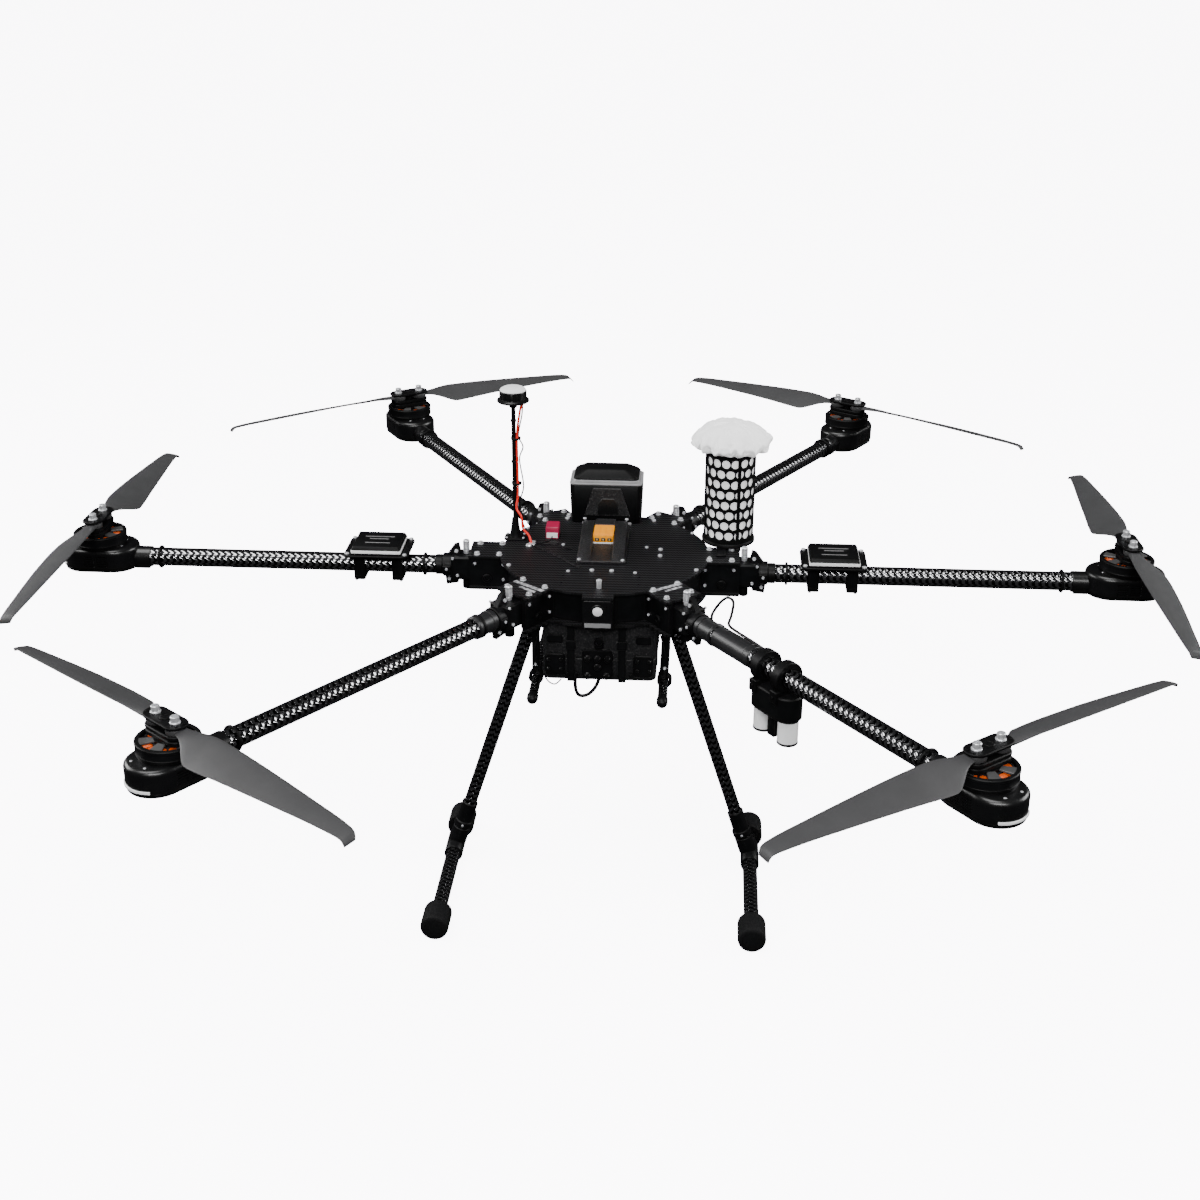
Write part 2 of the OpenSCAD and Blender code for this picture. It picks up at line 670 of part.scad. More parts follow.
STROBE_LEAD = [[236, 4, 15.5], [232, 8, 20], [236, 16, 34], [246, 20, 44], [258, 20, 42], [262, 14, 26],
    [266, 8, 17.5], [290, 4, 17.5], [320, 3, 17.5], [346, 0, 18.5]];

module strobe_light() {
    on_arm(ARMS[0]) {
        color(black) for (x = [344, 383]) difference() {
            x_rod(20, x, x + 13);
            x_rod(tube_r + running, x - 1, x + 14);
        }
        color(black) difference() {
            translate([374, 0, -52]) linear_extrude(36) stadium(76, 36);
            x_rod(tube_r + running, 330, 420);
        }
        color(black) translate([367.5, -8, -84]) cube([13, 16, 33]);
        for (x = [351, 397]) translate([x, 0, 0]) {
            color("#f4f4f4") translate([0, 0, -82]) cylinder(r = 13, h = 31);
            color(black) translate([0, 0, -85]) cylinder(r = 13, h = 3);
        }
        color(black) lead(spline(STROBE_LEAD, 2), 1.8);
    }
}

// ---- landing gear ----

// Local frame of a leg: Z = 0 at its hinge, the tube runs down and outwards
module on_leg(side) {
    hub() translate([side * leg_pivot[0], leg_pivot[1], leg_pivot[2]])
        rotate([0, -side * leg_tilt, 0]) children();
}

module leg(side) {
    color(carbon) on_leg(side) {
        difference() {
            union() {
                y_rod(leg_barrel_r, leg_block_w);
                translate([0, 0, -34]) cylinder(r = leg_d / 2 + 2, h = 30);
            }
            y_rod(leg_pin_r + running, 40);
            translate([0, 0, -35]) cylinder(r = leg_d / 2 + eps, h = 20);
        }
        translate([0, 0, -leg_len + 12]) cylinder(r = leg_d / 2, h = leg_len - 27);
        translate([0, 0, -leg_len + 11]) ring(leg_d / 2 + 3, leg_d / 2 - eps, 30);
    }
    color(carbon) hub() translate([side * skid_x, 0, skid_z]) {
        difference() {
            translate([0, leg_pivot[1], 0]) y_rod(skid_d / 2 + 3, 52);
            translate([0, leg_pivot[1], 0]) y_rod(skid_d / 2 - eps, 60);
        }
        translate([0, (skid_front + skid_back) / 2, 0]) y_rod(skid_d / 2, skid_back - skid_front - 16);
    }
}

module feet(side) {
    color("#202022") hub() for (end = [[skid_front, 1], [skid_back, -1]])
        translate([side * skid_x, end[0], skid_z]) rotate([-90 * end[1], 0, 0]) difference() {
            cylinder(r = foot_d / 2, h = foot_len);
            translate([0, 0, 8]) cylinder(r = skid_d / 2 + running, h = foot_len);
        }
}

top_plate();
bottom_plate();
hub_frame();
deck_fasteners();
flight_controller();
hood_body();
hood_lid();
connector_block();
power_connector();
charge_connector();
mast();
mast_puck();
held_cables();
parachute_tube();
parachute_canopy();
equipment_bay();
payload_rails();
position_box(ARMS[4]);  // position_box_left
position_box(ARMS[1]);  // position_box_right
strobe_light();
for (s = SIDES) {
    leg(s[1]);
    feet(s[1]);
}
for (a = ARMS) {
    arm(a);
    pod(a);
    rotor(a);
    blade(a, 0);
    blade(a, 180);
    pin(a);
}
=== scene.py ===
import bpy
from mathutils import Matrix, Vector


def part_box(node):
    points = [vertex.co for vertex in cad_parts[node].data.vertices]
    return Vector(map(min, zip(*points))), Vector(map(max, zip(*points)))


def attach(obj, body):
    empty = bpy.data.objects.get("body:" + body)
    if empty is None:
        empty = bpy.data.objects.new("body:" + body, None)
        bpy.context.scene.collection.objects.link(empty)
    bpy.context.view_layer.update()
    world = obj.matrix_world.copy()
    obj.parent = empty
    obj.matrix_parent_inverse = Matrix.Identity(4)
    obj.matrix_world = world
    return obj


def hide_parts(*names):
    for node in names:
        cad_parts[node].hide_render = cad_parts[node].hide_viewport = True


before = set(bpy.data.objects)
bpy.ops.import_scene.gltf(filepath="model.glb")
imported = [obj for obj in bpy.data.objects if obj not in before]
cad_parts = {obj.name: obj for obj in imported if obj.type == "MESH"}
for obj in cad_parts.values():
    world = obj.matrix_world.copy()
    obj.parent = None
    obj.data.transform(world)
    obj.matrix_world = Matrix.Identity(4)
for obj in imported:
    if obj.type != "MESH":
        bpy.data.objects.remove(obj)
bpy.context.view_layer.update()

import math

import bmesh
import bpy
import numpy as np
from mathutils import Matrix, Vector, noise

MM = 0.001
PI = math.pi

# ---------------------------------------------------------------- named values
HUB = Vector((0, 7, 440))  # hub axis at the height of the arm tubes, mm
TUBE_R = 12.5
DECK_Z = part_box("top_plate")[1][2] / MM
BELLY_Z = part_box("bottom_plate")[0][2] / MM
# per arm: heading in degrees, hub to motor, hub to wing end, hand (+1 on the right), turn of the propeller
ARMS = {
    "front_right": (-53, 713, 182, 1, 92.4),
    "right": (0, 693, 182, 1, 92.4),
    "rear_right": (58.3, 692, 170, 1, 89.8),
    "rear_left": (121.7, 692, 170, -1, 89.8),
    "left": (180, 693, 182, -1, 92.4),
    "front_left": (233, 713, 182, -1, 92.4),
}
BOLT_X = 18  # blade bolt from the motor axis
BLADE_Z = 52
PROP_R = 305
HINGE_BACK = 24  # arm hinge inwards from the wing end
HINGE_DROP = 9  # middle of the hinge below the arm axis
RAIL_X, RAIL_Z, HANGER_X = 84.6, 320, 85.8
BAY_FRONT, BAY_BACK, BAY_H = -116, 104, 87
GLOSS_DRIFT = 0.08  # how far roughness wanders either way


def arm_frame(name):
    return Matrix.Translation(HUB) @ Matrix.Rotation(math.radians(ARMS[name][0]), 4, "Z")


def rotor_frame(name):
    _, reach, _, hand, turn = ARMS[name]
    return arm_frame(name) @ Matrix.Translation((reach, 0, 0)) @ Matrix.Rotation(math.radians(hand * turn),
        4, "Z")


# ---------------------------------------------------------------- materials
def new_material(name):
    m = bpy.data.materials.new(name)
    m.use_nodes = True
    return m, m.node_tree, m.node_tree.nodes["Principled BSDF"]


def node(nt, kind, **sets):
    n = nt.nodes.new(kind)
    for k, v in sets.items():
        if k.startswith("i_"):
            n.inputs[k[2:].replace("_", " ")].default_value = v
        elif k.startswith("n"):
            n.inputs[int(k[1:])].default_value = v
        else:
            setattr(n, k, v)
    return n


def link(nt, a, ao, b, bi):
    nt.links.new(a.outputs[ao], b.inputs[bi])


def calc(nt, op, a, b=None):
    n = nt.nodes.new("ShaderNodeMath")
    n.operation = op
    for i, x in enumerate((a, b)):
        if x is None:
            continue
        if isinstance(x, (int, float)):
            n.inputs[i].default_value = x
        else:
            nt.links.new(x, n.inputs[i])
    return n.outputs[0]


def rgb(c):
    return (*c, 1) if len(c) == 3 else c


def mottled(nt, p, scale, dark, light, detail=2.0, low=0.0, high=1.0):
    """Slow noise between two colours drives the base colour; gives back the coordinates and the ramp."""
    co = node(nt, "ShaderNodeTexCoord")
    slow = node(nt, "ShaderNodeTexNoise", i_Scale=float(scale), i_Detail=detail)
    link(nt, co, "Object", slow, "Vector")
    ramp = node(nt, "ShaderNodeValToRGB")
    for end, where, colour in zip(ramp.color_ramp.elements, (low, high), (dark, light)):
        end.position = where
        end.color = rgb(colour)
    link(nt, slow, "Fac", ramp, "Fac")
    link(nt, ramp, "Color", p, "Base Color")
    return co, ramp


def surface(name, base, other, rough, scale=60, metal=0.0, bump=0.15, grain=900, coat=0.0, spec=0.5,
    contrast=0.5, sss=0.0, bump_dist=0.0004):
    """Moulded, cast or painted surface: slow colour drift, fine grain in the bump, uneven gloss."""
    m, nt, p = new_material(name)
    co, _ = mottled(nt, p, scale, base, other, 4.0, 0.5 - contrast / 2, 0.5 + contrast / 2)
    fine = node(nt, "ShaderNodeTexNoise", i_Scale=float(grain), i_Detail=2.0)
    link(nt, co, "Object", fine, "Vector")
    r = node(nt, "ShaderNodeMapRange", n3=rough - GLOSS_DRIFT, n4=rough + GLOSS_DRIFT)
    link(nt, fine, "Fac", r, "Value")
    link(nt, r, "Result", p, "Roughness")
    b = node(nt, "ShaderNodeBump", i_Strength=bump, i_Distance=bump_dist)
    link(nt, fine, "Fac", b, "Height")
    link(nt, b, "Normal", p, "Normal")
    p.inputs["Metallic"].default_value = metal
    p.inputs["Specular IOR Level"].default_value = spec
    p.inputs["Coat Weight"].default_value = coat
    p.inputs["Coat Roughness"].default_value = 0.12
    if sss:
        p.inputs["Subsurface Weight"].default_value = sss
        p.inputs["Subsurface Radius"].default_value = (0.01, 0.01, 0.01)
    return m


def carbon(name, tow, dark, light, rough, turn=0.0, use_map=True, bump=0.5, spec=0.5, split=0.5, dull=0.12,
    metal=0.0, chevron=None):
    """2/2 twill weave: tows of the given width in mm, one set darker, each tow rounded in the bump."""
    m, nt, p = new_material(name)
    co = node(nt, "ShaderNodeTexCoord")
    mp = node(nt, "ShaderNodeMapping")
    s = 1.0 / tow if use_map else 1000.0 / tow
    mp.inputs["Scale"].default_value = (s, s, s)
    mp.inputs["Rotation"].default_value = (0, 0, math.radians(turn))
    if chevron:
        # tows laid in V rows: the length along the tube is pushed forward towards every second ridge
        flat = node(nt, "ShaderNodeSeparateXYZ")
        link(nt, co, "UV", flat, "Vector")
        saw = calc(nt, "FRACT", calc(nt, "DIVIDE", flat.outputs[1], chevron[0]))
        ridge = calc(nt, "ABSOLUTE", calc(nt, "SUBTRACT", saw, 0.5))
        bent = node(nt, "ShaderNodeCombineXYZ")
        nt.links.new(calc(nt, "ADD", flat.outputs[0], calc(nt, "MULTIPLY", ridge, chevron[1])),
            bent.inputs[0])
        nt.links.new(flat.outputs[1], bent.inputs[1])
        link(nt, bent, "Vector", mp, "Vector")
    else:
        link(nt, co, "UV" if use_map else "Object", mp, "Vector")
    xyz = node(nt, "ShaderNodeSeparateXYZ")
    link(nt, mp, "Vector", xyz, "Vector")
    u, v = xyz.outputs[0], xyz.outputs[1]
    step = calc(nt, "SUBTRACT", calc(nt, "FLOOR", u), calc(nt, "FLOOR", v))
    stripe = calc(nt, "FLOORED_MODULO", step, 4.0)
    over = calc(nt, "LESS_THAN", stripe, 2.0)
    across_v = calc(nt, "SINE", calc(nt, "MULTIPLY", calc(nt, "FRACT", v), PI))
    across_u = calc(nt, "SINE", calc(nt, "MULTIPLY", calc(nt, "FRACT", u), PI))
    mix = node(nt, "ShaderNodeMix", data_type="FLOAT")
    nt.links.new(over, mix.inputs[0])
    nt.links.new(across_u, mix.inputs[2])
    nt.links.new(across_v, mix.inputs[3])
    threads = node(nt, "ShaderNodeTexNoise", i_Scale=3.0, i_Detail=3.0)
    link(nt, mp, "Vector", threads, "Vector")
    tone = node(nt, "ShaderNodeMix", data_type="RGBA")
    worn = calc(nt, "ADD", threads.outputs["Fac"], split)
    nt.links.new(calc(nt, "MULTIPLY", over, worn), tone.inputs[0])
    tone.inputs[6].default_value = rgb(dark)
    tone.inputs[7].default_value = rgb(light)
    nt.links.new(tone.outputs[2], p.inputs["Base Color"])
    r = node(nt, "ShaderNodeMapRange", n3=rough + dull, n4=rough)
    nt.links.new(over, r.inputs["Value"])
    link(nt, r, "Result", p, "Roughness")
    b = node(nt, "ShaderNodeBump", i_Strength=bump, i_Distance=tow * 0.16 * MM)
    nt.links.new(mix.outputs[0], b.inputs["Height"])
    link(nt, b, "Normal", p, "Normal")
    p.inputs["Specular IOR Level"].default_value = spec
    p.inputs["Metallic"].default_value = metal
    return m


MAT = {
    "tube": carbon("carbon tube", 3.1, (0.008, 0.008, 0.009), (0.42, 0.42, 0.43), 0.2, turn=-45, bump=0.35,
        split=0.4, dull=0.12, metal=1.0, chevron=(9.8, 9.0)),
    "plate": carbon("carbon plate", 2.8, (0.0015, 0.0015, 0.0017), (0.01, 0.01, 0.011), 0.4, turn=45,
        use_map=False, bump=0.35, spec=0.2, dull=0.2),
    "blade": surface("satin carbon blade", (0.036, 0.036, 0.037), (0.05, 0.05, 0.0515), 0.46, scale=25,
        bump=0.04, grain=1200, spec=0.3, contrast=0.8),
    "black": surface("black moulded plastic", (0.0014, 0.0014, 0.0016), (0.0035, 0.0035, 0.0038), 0.45,
        spec=0.12),
    "satin": surface("black anodised aluminium", (0.0016, 0.0016, 0.0018), (0.0045, 0.0045, 0.005), 0.42,
        bump=0.05, spec=0.14),
    "sleeve": surface("satin grey sleeve", (0.012, 0.012, 0.013), (0.02, 0.02, 0.021), 0.36, metal=0.2,
        bump=0.06, spec=0.4),
    "gloss": surface("gloss black housing", (0.0016, 0.0016, 0.0018), (0.004, 0.004, 0.0043), 0.3,
        bump=0.08, spec=0.45),
    "steel": surface("stainless steel", (0.62, 0.63, 0.65), (0.88, 0.89, 0.91), 0.34, metal=0.7, scale=300,
        bump=0.08, grain=1500),
    "copper": surface("orange enamelled wire", (0.5, 0.06, 0.003), (0.68, 0.1, 0.006), 0.4, scale=500,
        bump=0.6, grain=1400),
    "spoke": surface("grey bell spokes", (0.05, 0.05, 0.05), (0.09, 0.09, 0.09), 0.35, metal=0.2),
    "white": surface("white plastic", (0.9, 0.9, 0.9), (0.97, 0.97, 0.97), 0.4, bump=0.05),
    "lens": surface("milky lens", (0.95, 0.96, 0.97), (0.98, 0.98, 0.98), 0.18, coat=0.4, bump=0.03,
        sss=0.3),
    "pale": surface("pale grey plastic", (0.2, 0.2, 0.205), (0.26, 0.26, 0.265), 0.45, bump=0.15),
    "grey": surface("dark grey plastic", (0.012, 0.012, 0.013), (0.02, 0.02, 0.022), 0.5),
    "label": surface("worn printed label", (0.1, 0.1, 0.105), (0.5, 0.5, 0.52), 0.55, scale=220,
        contrast=0.25),
    "yellow": surface("yellow connector", (0.8, 0.27, 0.0), (0.92, 0.35, 0.001), 0.38, bump=0.1, spec=0.25),
    "maroon": surface("maroon connector", (0.3, 0.004, 0.04), (0.4, 0.008, 0.06), 0.38, bump=0.1),
    "red": surface("red silicone lead", (0.7, 0.01, 0.006), (0.85, 0.02, 0.012), 0.4, scale=200),
    "cable": surface("black cable", (0.0015, 0.0015, 0.0018), (0.004, 0.004, 0.0045), 0.45, scale=200,
        spec=0.2),
    "foam": surface("foam rubber", (0.0015, 0.0015, 0.0017), (0.005, 0.005, 0.0055), 0.7, scale=400,
        bump=0.8, grain=650, bump_dist=0.001, spec=0.15),
    "pebble": surface("pebbled black plastic", (0.0018, 0.0018, 0.002), (0.014, 0.014, 0.015), 0.38,
        scale=900, bump=0.9, grain=600, bump_dist=0.0012, contrast=0.3, spec=0.45),
    "brass": surface("brass contacts", (0.7, 0.5, 0.18), (0.85, 0.65, 0.3), 0.3, metal=1.0, scale=300),
}


def glowing_cloth_material():
    m, nt, p = new_material("white ripstop cloth")
    co, _ = mottled(nt, p, 45, (0.94, 0.94, 0.94), (0.99, 0.99, 0.99), 5.0)
    waves = []
    for direction in ("X", "Z"):
        w = node(nt, "ShaderNodeTexWave", wave_type="BANDS", bands_direction=direction, i_Scale=260.0,
            i_Distortion=0.6)
        link(nt, co, "Object", w, "Vector")
        waves.append(w.outputs["Fac"])
    weave = calc(nt, "ADD", *waves)
    b = node(nt, "ShaderNodeBump", i_Strength=0.25, i_Distance=0.0005)
    nt.links.new(weave, b.inputs["Height"])
    link(nt, b, "Normal", p, "Normal")
    p.inputs["Roughness"].default_value = 0.75
    p.inputs["Sheen Weight"].default_value = 0.3
    # painted glow: the cloth gives off a faint white light of its own, so it reads brighter than the lamps
    # alone make it
    p.inputs["Emission Color"].default_value = (1, 1, 1, 1)
    p.inputs["Emission Strength"].default_value = 0.38
    p.inputs["Subsurface Weight"].default_value = 0.1
    p.inputs["Subsurface Radius"].default_value = (0.004, 0.004, 0.004)
    return m


MAT["cloth"] = glowing_cloth_material()


# ---------------------------------------------------------------- mesh code
class Shape:
    """Points, faces and a flat map in mm, gathered from several closed pieces."""

    def __init__(self):
        self.v, self.f, self.uv = [], [], []

    def add(self, part, at=None):
        verts, faces, uvs = part
        base = len(self.v)
        flip = at is not None and at.determinant() < 0
        self.v += [at @ Vector(p) if at is not None else Vector(p) for p in verts]
        for k, face in enumerate(faces):
            ids = [i + base for i in face]
            uv = uvs[k] if uvs else [(verts[i][0], verts[i][1]) for i in face]
            self.f.append(ids[::-1] if flip else ids)
            self.uv.append(list(uv)[::-1] if flip else list(uv))
        return self

    def build(self, name, material, body, slot, at=None, smooth=38):
        name = name.replace(" ", "_")
        mesh = bpy.data.meshes.new(name)
        if at is not None and at.determinant() < 0:
            self.f = [f[::-1] for f in self.f]
            self.uv = [u[::-1] for u in self.uv]
        pts = [((at @ p) if at is not None else p) * MM for p in self.v]
        mesh.from_pydata(pts, [], self.f)
        layer = mesh.uv_layers.new(name="Map")
        flat = [c for face in self.uv for c in face]
        for i, c in enumerate(flat):
            layer.data[i].uv = c
        mesh.shade_smooth()
        mesh.set_sharp_from_angle(angle=math.radians(smooth))
        obj = bpy.data.objects.new(name, mesh)
        bpy.context.scene.collection.objects.link(obj)
        mesh.materials.append(MAT[material])
        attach(obj, body)
        return obj


def loft(rings, u=None, v=None):
    """Closed skin through rings of equal count, flat caps at both ends. u and v give the map in mm."""
    n, m = len(rings[0]), len(rings)
    verts = [tuple(p) for ring in rings for p in ring]
    if u is None:
        u = [0.0]
        for i in range(n):
            u.append(u[-1] + (Vector(rings[0][(i + 1) % n]) - Vector(rings[0][i])).length)
    if v is None:
        v = [0.0]
        for j in range(m - 1):
            v.append(v[-1] + (Vector(rings[j + 1][0]) - Vector(rings[j][0])).length)
    faces, uvs = [], []
    for j in range(m - 1):
        for i in range(n):
            k = (i + 1) % n
            faces.append((j * n + i, j * n + k, (j + 1) * n + k, (j + 1) * n + i))
            uvs.append(((v[j], u[i]), (v[j], u[i + 1]), (v[j + 1], u[i + 1]), (v[j + 1], u[i])))
    for ring, order in ((0, range(n - 1, -1, -1)), (m - 1, range(n))):
        ids = [ring * n + i for i in order]
        faces.append(tuple(ids))
        uvs.append([(verts[i][0], verts[i][1]) for i in ids])
    return verts, faces, uvs


def lathe(profile, n=32):
    """Profile of (radius, height) from bottom to top, turned about Z, capped at both ends."""
    turns = [2 * PI * i / n for i in range(n)]
    rings = [(max(r, 0.02), z) for r, z in profile]
    return loft([[(r * math.cos(a), r * math.sin(a), z) for a in turns] for r, z in rings])


def ring_solid(profile, n=48):
    """A closed (radius, height) outline, counter-clockwise, turned about Z into a ring."""
    m = len(profile)
    verts = [(r * math.cos(2 * PI * i / n), r * math.sin(2 * PI * i / n), z) for i in range(n) for r,
        z in profile]
    faces = []
    for i in range(n):
        k = (i + 1) % n
        for j in range(m):
            q = (j + 1) % m
            faces.append((i * m + j, k * m + j, k * m + q, i * m + q))
    return verts, faces, None


def sleeve(inner, outer, z0, z1, b, n=48):
    """Ring from z0 to z1 with its outer edges bevelled by b."""
    rim = [(outer - b, z0), (outer, z0 + b), (outer, z1 - b), (outer - b, z1)]
    return ring_solid([(inner, z0)] + rim + [(inner, z1)], n)


def rod(r, z0, z1, bevel=0.6, n=32):
    return lathe([(r - bevel, z0), (r, z0 + bevel), (r, z1 - bevel), (r - bevel, z1)], n)


def inset(outline, d):
    """Outline moved inwards by d along its own normals."""
    out = []
    n = len(outline)
    for i in range(n):
        a, b, c = (Vector(outline[(i + k) % n]) for k in (-1, 0, 1))
        e, f = (b - a).normalized(), (c - b).normalized()
        t = e + f
        if t.length < 1e-6:
            t = e
        t.normalize()
        normal = Vector((-t.y, t.x))
        out.append(b + normal * d / max(0.5, abs(e.dot(t))))
    return out


def prism(outline, z0, z1, bevel=0.5):
    """Counter-clockwise outline pulled up from z0 to z1 with bevelled edges."""
    small = inset(outline, bevel) if bevel else outline
    rings = [(small, z0), (outline, z0 + bevel), (outline, z1 - bevel), (small, z1)]
    if not bevel:
        rings = [(outline, z0), (outline, z1)]
    return loft([[(p[0], p[1], z) for p in ring] for ring, z in rings])


def stadium(length, wide, n=12):
    r, h = wide / 2, (length - wide) / 2
    right = [(h + r * math.cos(t), r * math.sin(t)) for t in np.linspace(-PI / 2, PI / 2, n + 1)]
    left = [(-h + r * math.cos(t), r * math.sin(t)) for t in np.linspace(PI / 2, 3 * PI / 2, n + 1)]
    return right + left


def rrect(x, y, r, n=5):
    out = []
    for cx, cy, start in ((1, 1, 0), (-1, 1, 90), (-1, -1, 180), (1, -1, 270)):
        for k in range(n + 1):
            t = math.radians(start + 90 * k / n)
            out.append((cx * (x / 2 - r) + r * math.cos(t), cy * (y / 2 - r) + r * math.sin(t)))
    return out


def stack(levels, r, n=4, y=0.0):
    """Skin through rounded rectangles given as (width, depth, height)."""
    return loft([[(p[0], y + p[1], z) for p in rrect(w, d, r, n)] for w, d, z in levels])


def box(x0, x1, y0, y1, z0, z1, bevel=0.6):
    c = Matrix.Translation(((x0 + x1) / 2, (y0 + y1) / 2, 0))
    w, h = x1 - x0, y1 - y0
    b = min(bevel, w / 3, h / 3, (z1 - z0) / 3)
    v, f, u = prism(rrect(w, h, b, 2), z0, z1, b)
    return [tuple(c @ Vector(p)) for p in v], f, u


def frames(points):
    pts = [Vector(p) for p in points]
    up = Vector((0, 0, 1))
    out = []
    prev = None
    for i, p in enumerate(pts):
        t = (pts[min(i + 1, len(pts) - 1)] - pts[max(i - 1, 0)]).normalized()
        if prev is None:
            a = t.cross(up if abs(t.z) < 0.9 else Vector((1, 0, 0))).normalized()
        else:
            a = (prev - t * prev.dot(t)).normalized()
        prev = a
        out.append((p, a, t.cross(a)))
    return out


def hose(points, r, n=10):
    rings = []
    turns = [2 * PI * i / n for i in range(n)]
    for p, a, b in frames(points):
        rings.append([p + r * (math.cos(t) * a + math.sin(t) * b) for t in turns])
    return loft(rings)


def spline(points, steps=6):
    p = [Vector(q) for q in points]
    out = []
    for i in range(len(p) - 1):
        a, b, c, d = p[max(i - 1, 0)], p[i], p[i + 1], p[min(i + 2, len(p) - 1)]
        for k in range(steps):
            t = k / steps
            curve = (2 * a - 5 * b + 4 * c - d) * t * t + (3 * b - a - 3 * c + d) * t**3
            out.append(0.5 * (2 * b + (c - a) * t + curve))
    out.append(p[-1])
    return out


def along_x(x0=0.0, y=0.0, z=0.0):
    """Turns a piece made about +Z so that it runs along +X."""
    return Matrix.Translation((x0, y, z)) @ Matrix.Rotation(PI / 2, 4, "Y")


def along_y(x=0.0, y0=0.0, z=0.0, s=1):
    """Turns a piece made about +Z so that it runs along +Y, or along -Y where s is -1."""
    return Matrix.Translation((x, y0, z)) @ Matrix.Rotation(-s * PI / 2, 4, "X")


def spin(degrees):
    return Matrix.Rotation(math.radians(degrees), 4, "Z")


def cap_screw(head_r, head_h, n=20):
    """Socket head with a bevelled rim and a round socket, standing on z = 0."""
    s, b = head_r * 0.52, head_r * 0.12
    head = [(head_r - b, 0), (head_r, b), (head_r, head_h - b), (head_r - b, head_h)]
    return lathe(head + [(s, head_h), (s * 0.95, head_h * 0.45)], n)


CORNERS = [(sx, sy) for sx in (-1, 1) for sy in (-1, 1)]


def at(x, y, z=0.0, turn=0.0):
    return Matrix.Translation((x, y, z)) @ Matrix.Rotation(math.radians(turn), 4, "Z")


def tube_skin(r, x0, x1, n=48, wall=1.5):
    """Open tube along X with its wall, mapped for the weave: first along the tube, then round it."""
    outer, verts, faces, uvs = 2 * PI * r, [], [], []
    loops = [(r, x0), (r, x1), (r - wall, x1), (r - wall, x0)]
    for rr, x in loops:
        verts += [(x, rr * math.cos(2 * PI * i / n), rr * math.sin(2 * PI * i / n)) for i in range(n)]
    for j in range(4):
        q = (j + 1) % 4
        for i in range(n):
            k = (i + 1) % n
            faces.append((j * n + i, q * n + i, q * n + k, j * n + k))
            ua, ub = outer * i / n, outer * (i + 1) / n
            xa, xb = loops[j][1], loops[q][1]
            uvs.append(((xa, ua), (xb, ua), (xb, ub), (xa, ub)))
    return verts, faces, uvs


# ---------------------------------------------------------------- rotors
def build_blade(name, end, letter):
    tip = PROP_R - BOLT_X
    stations = [
        (6.5, 15, 7.5, 0, 7, 0), (12, 17, 8.3, 1, 6.8, 0), (18, 19, 9, 4, 6.6, 0),
            (24, 22.5, 9.8, 8, 6.3, 0),
        (30, 27, 10.8, 12, 6.1, 0), (36, 32.5, 11.8, 15, 5.9, 0), (42, 38, 12.8, 17.5, 5.6, 0),
            (48, 42.8, 13.6, 19, 5.4, 0.1),
        (52, 45.2, 14.1, 19.6, 5.2, 0.2), (56, 46.6, 14.6, 20, 5, 0.3), (62, 47, 14.9, 19.8, 4.8, 0.4),
            (70, 46.7, 15, 19, 4.6, 0.5),
        (85, 45.6, 15, 18, 4.3, 0.7), (100, 44, 15, 17, 4, 1), (125, 41, 14.6, 15.5, 3.7, 1.7),
            (150, 38, 14, 14, 3.4, 2.5),
        (175, 34.5, 13.3, 13, 3.2, 3.5), (200, 31, 12.5, 12, 3, 4.5), (222, 27.5, 11.7, 11, 2.7, 5.5),
            (245, 24.4, 11, 10, 2.5, 6.5),
        (262, 22, 10.2, 9.5, 2.3, 7.4), (tip - 12, 19.6, 9.2, 9, 2.1, 8.5),
            (tip - 7, 18.4, 8.3, 9, 2.0, 9.3), (tip - 4, 17.4, 7.4, 9, 1.8, 10.4),
        (tip - 1.6, 16, 6, 9, 1.6, 13), (tip - 0.4, 14.4, 4.6, 9, 1.3, 15.6),
    ]
    n = 15
    rings, lengths = [], []
    for x, chord, lead, pitch, thick, drop in stations:
        c, s = math.cos(math.radians(pitch)), math.sin(math.radians(pitch))
        pts = []
        up = [(0.5 * (1 - math.cos(PI * i / n))) for i in range(n + 1)]
        for t in up:
            pts.append((t, 0.5 * (2.6 * math.sqrt(t) * (1 - t) ** 0.85 + 0.05 * t)))
        for t in up[::-1][1:-1]:
            pts.append((t, -0.22 * (2.4 * math.sqrt(t) * (1 - t) ** 0.8 + 0.08 * t)))
        ring = []
        for t, h in pts:
            y, z = lead - t * chord, h * thick * 0.93
            ring.append((x, y * c - z * s, y * s + z * c - drop))
        rings.append(ring)
        lengths.append(x)
    u = [0.0]
    for i in range(len(rings[12])):
        u.append(u[-1] + (Vector(rings[12][(i + 1) % len(rings[12])]) - Vector(rings[12][i])).length)
    shape = Shape().add(loft(rings, u=u, v=lengths))
    shape.add(sleeve(4.05, 11.5, -3.7, 3.7, 0.6, 40))
    place = rotor_frame(name) @ spin(end) @ at(BOLT_X, 0, BLADE_Z)
    if ARMS[name][3] > 0:
        place = place @ Matrix.Diagonal((1, -1, 1, 1))
    obj = shape.build(f"blade {letter} {name}", "blade", f"blade_{letter}_{name}_body", "carbon_blade",
        place, smooth=50)
    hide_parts(f"blade_{letter}_{name}")


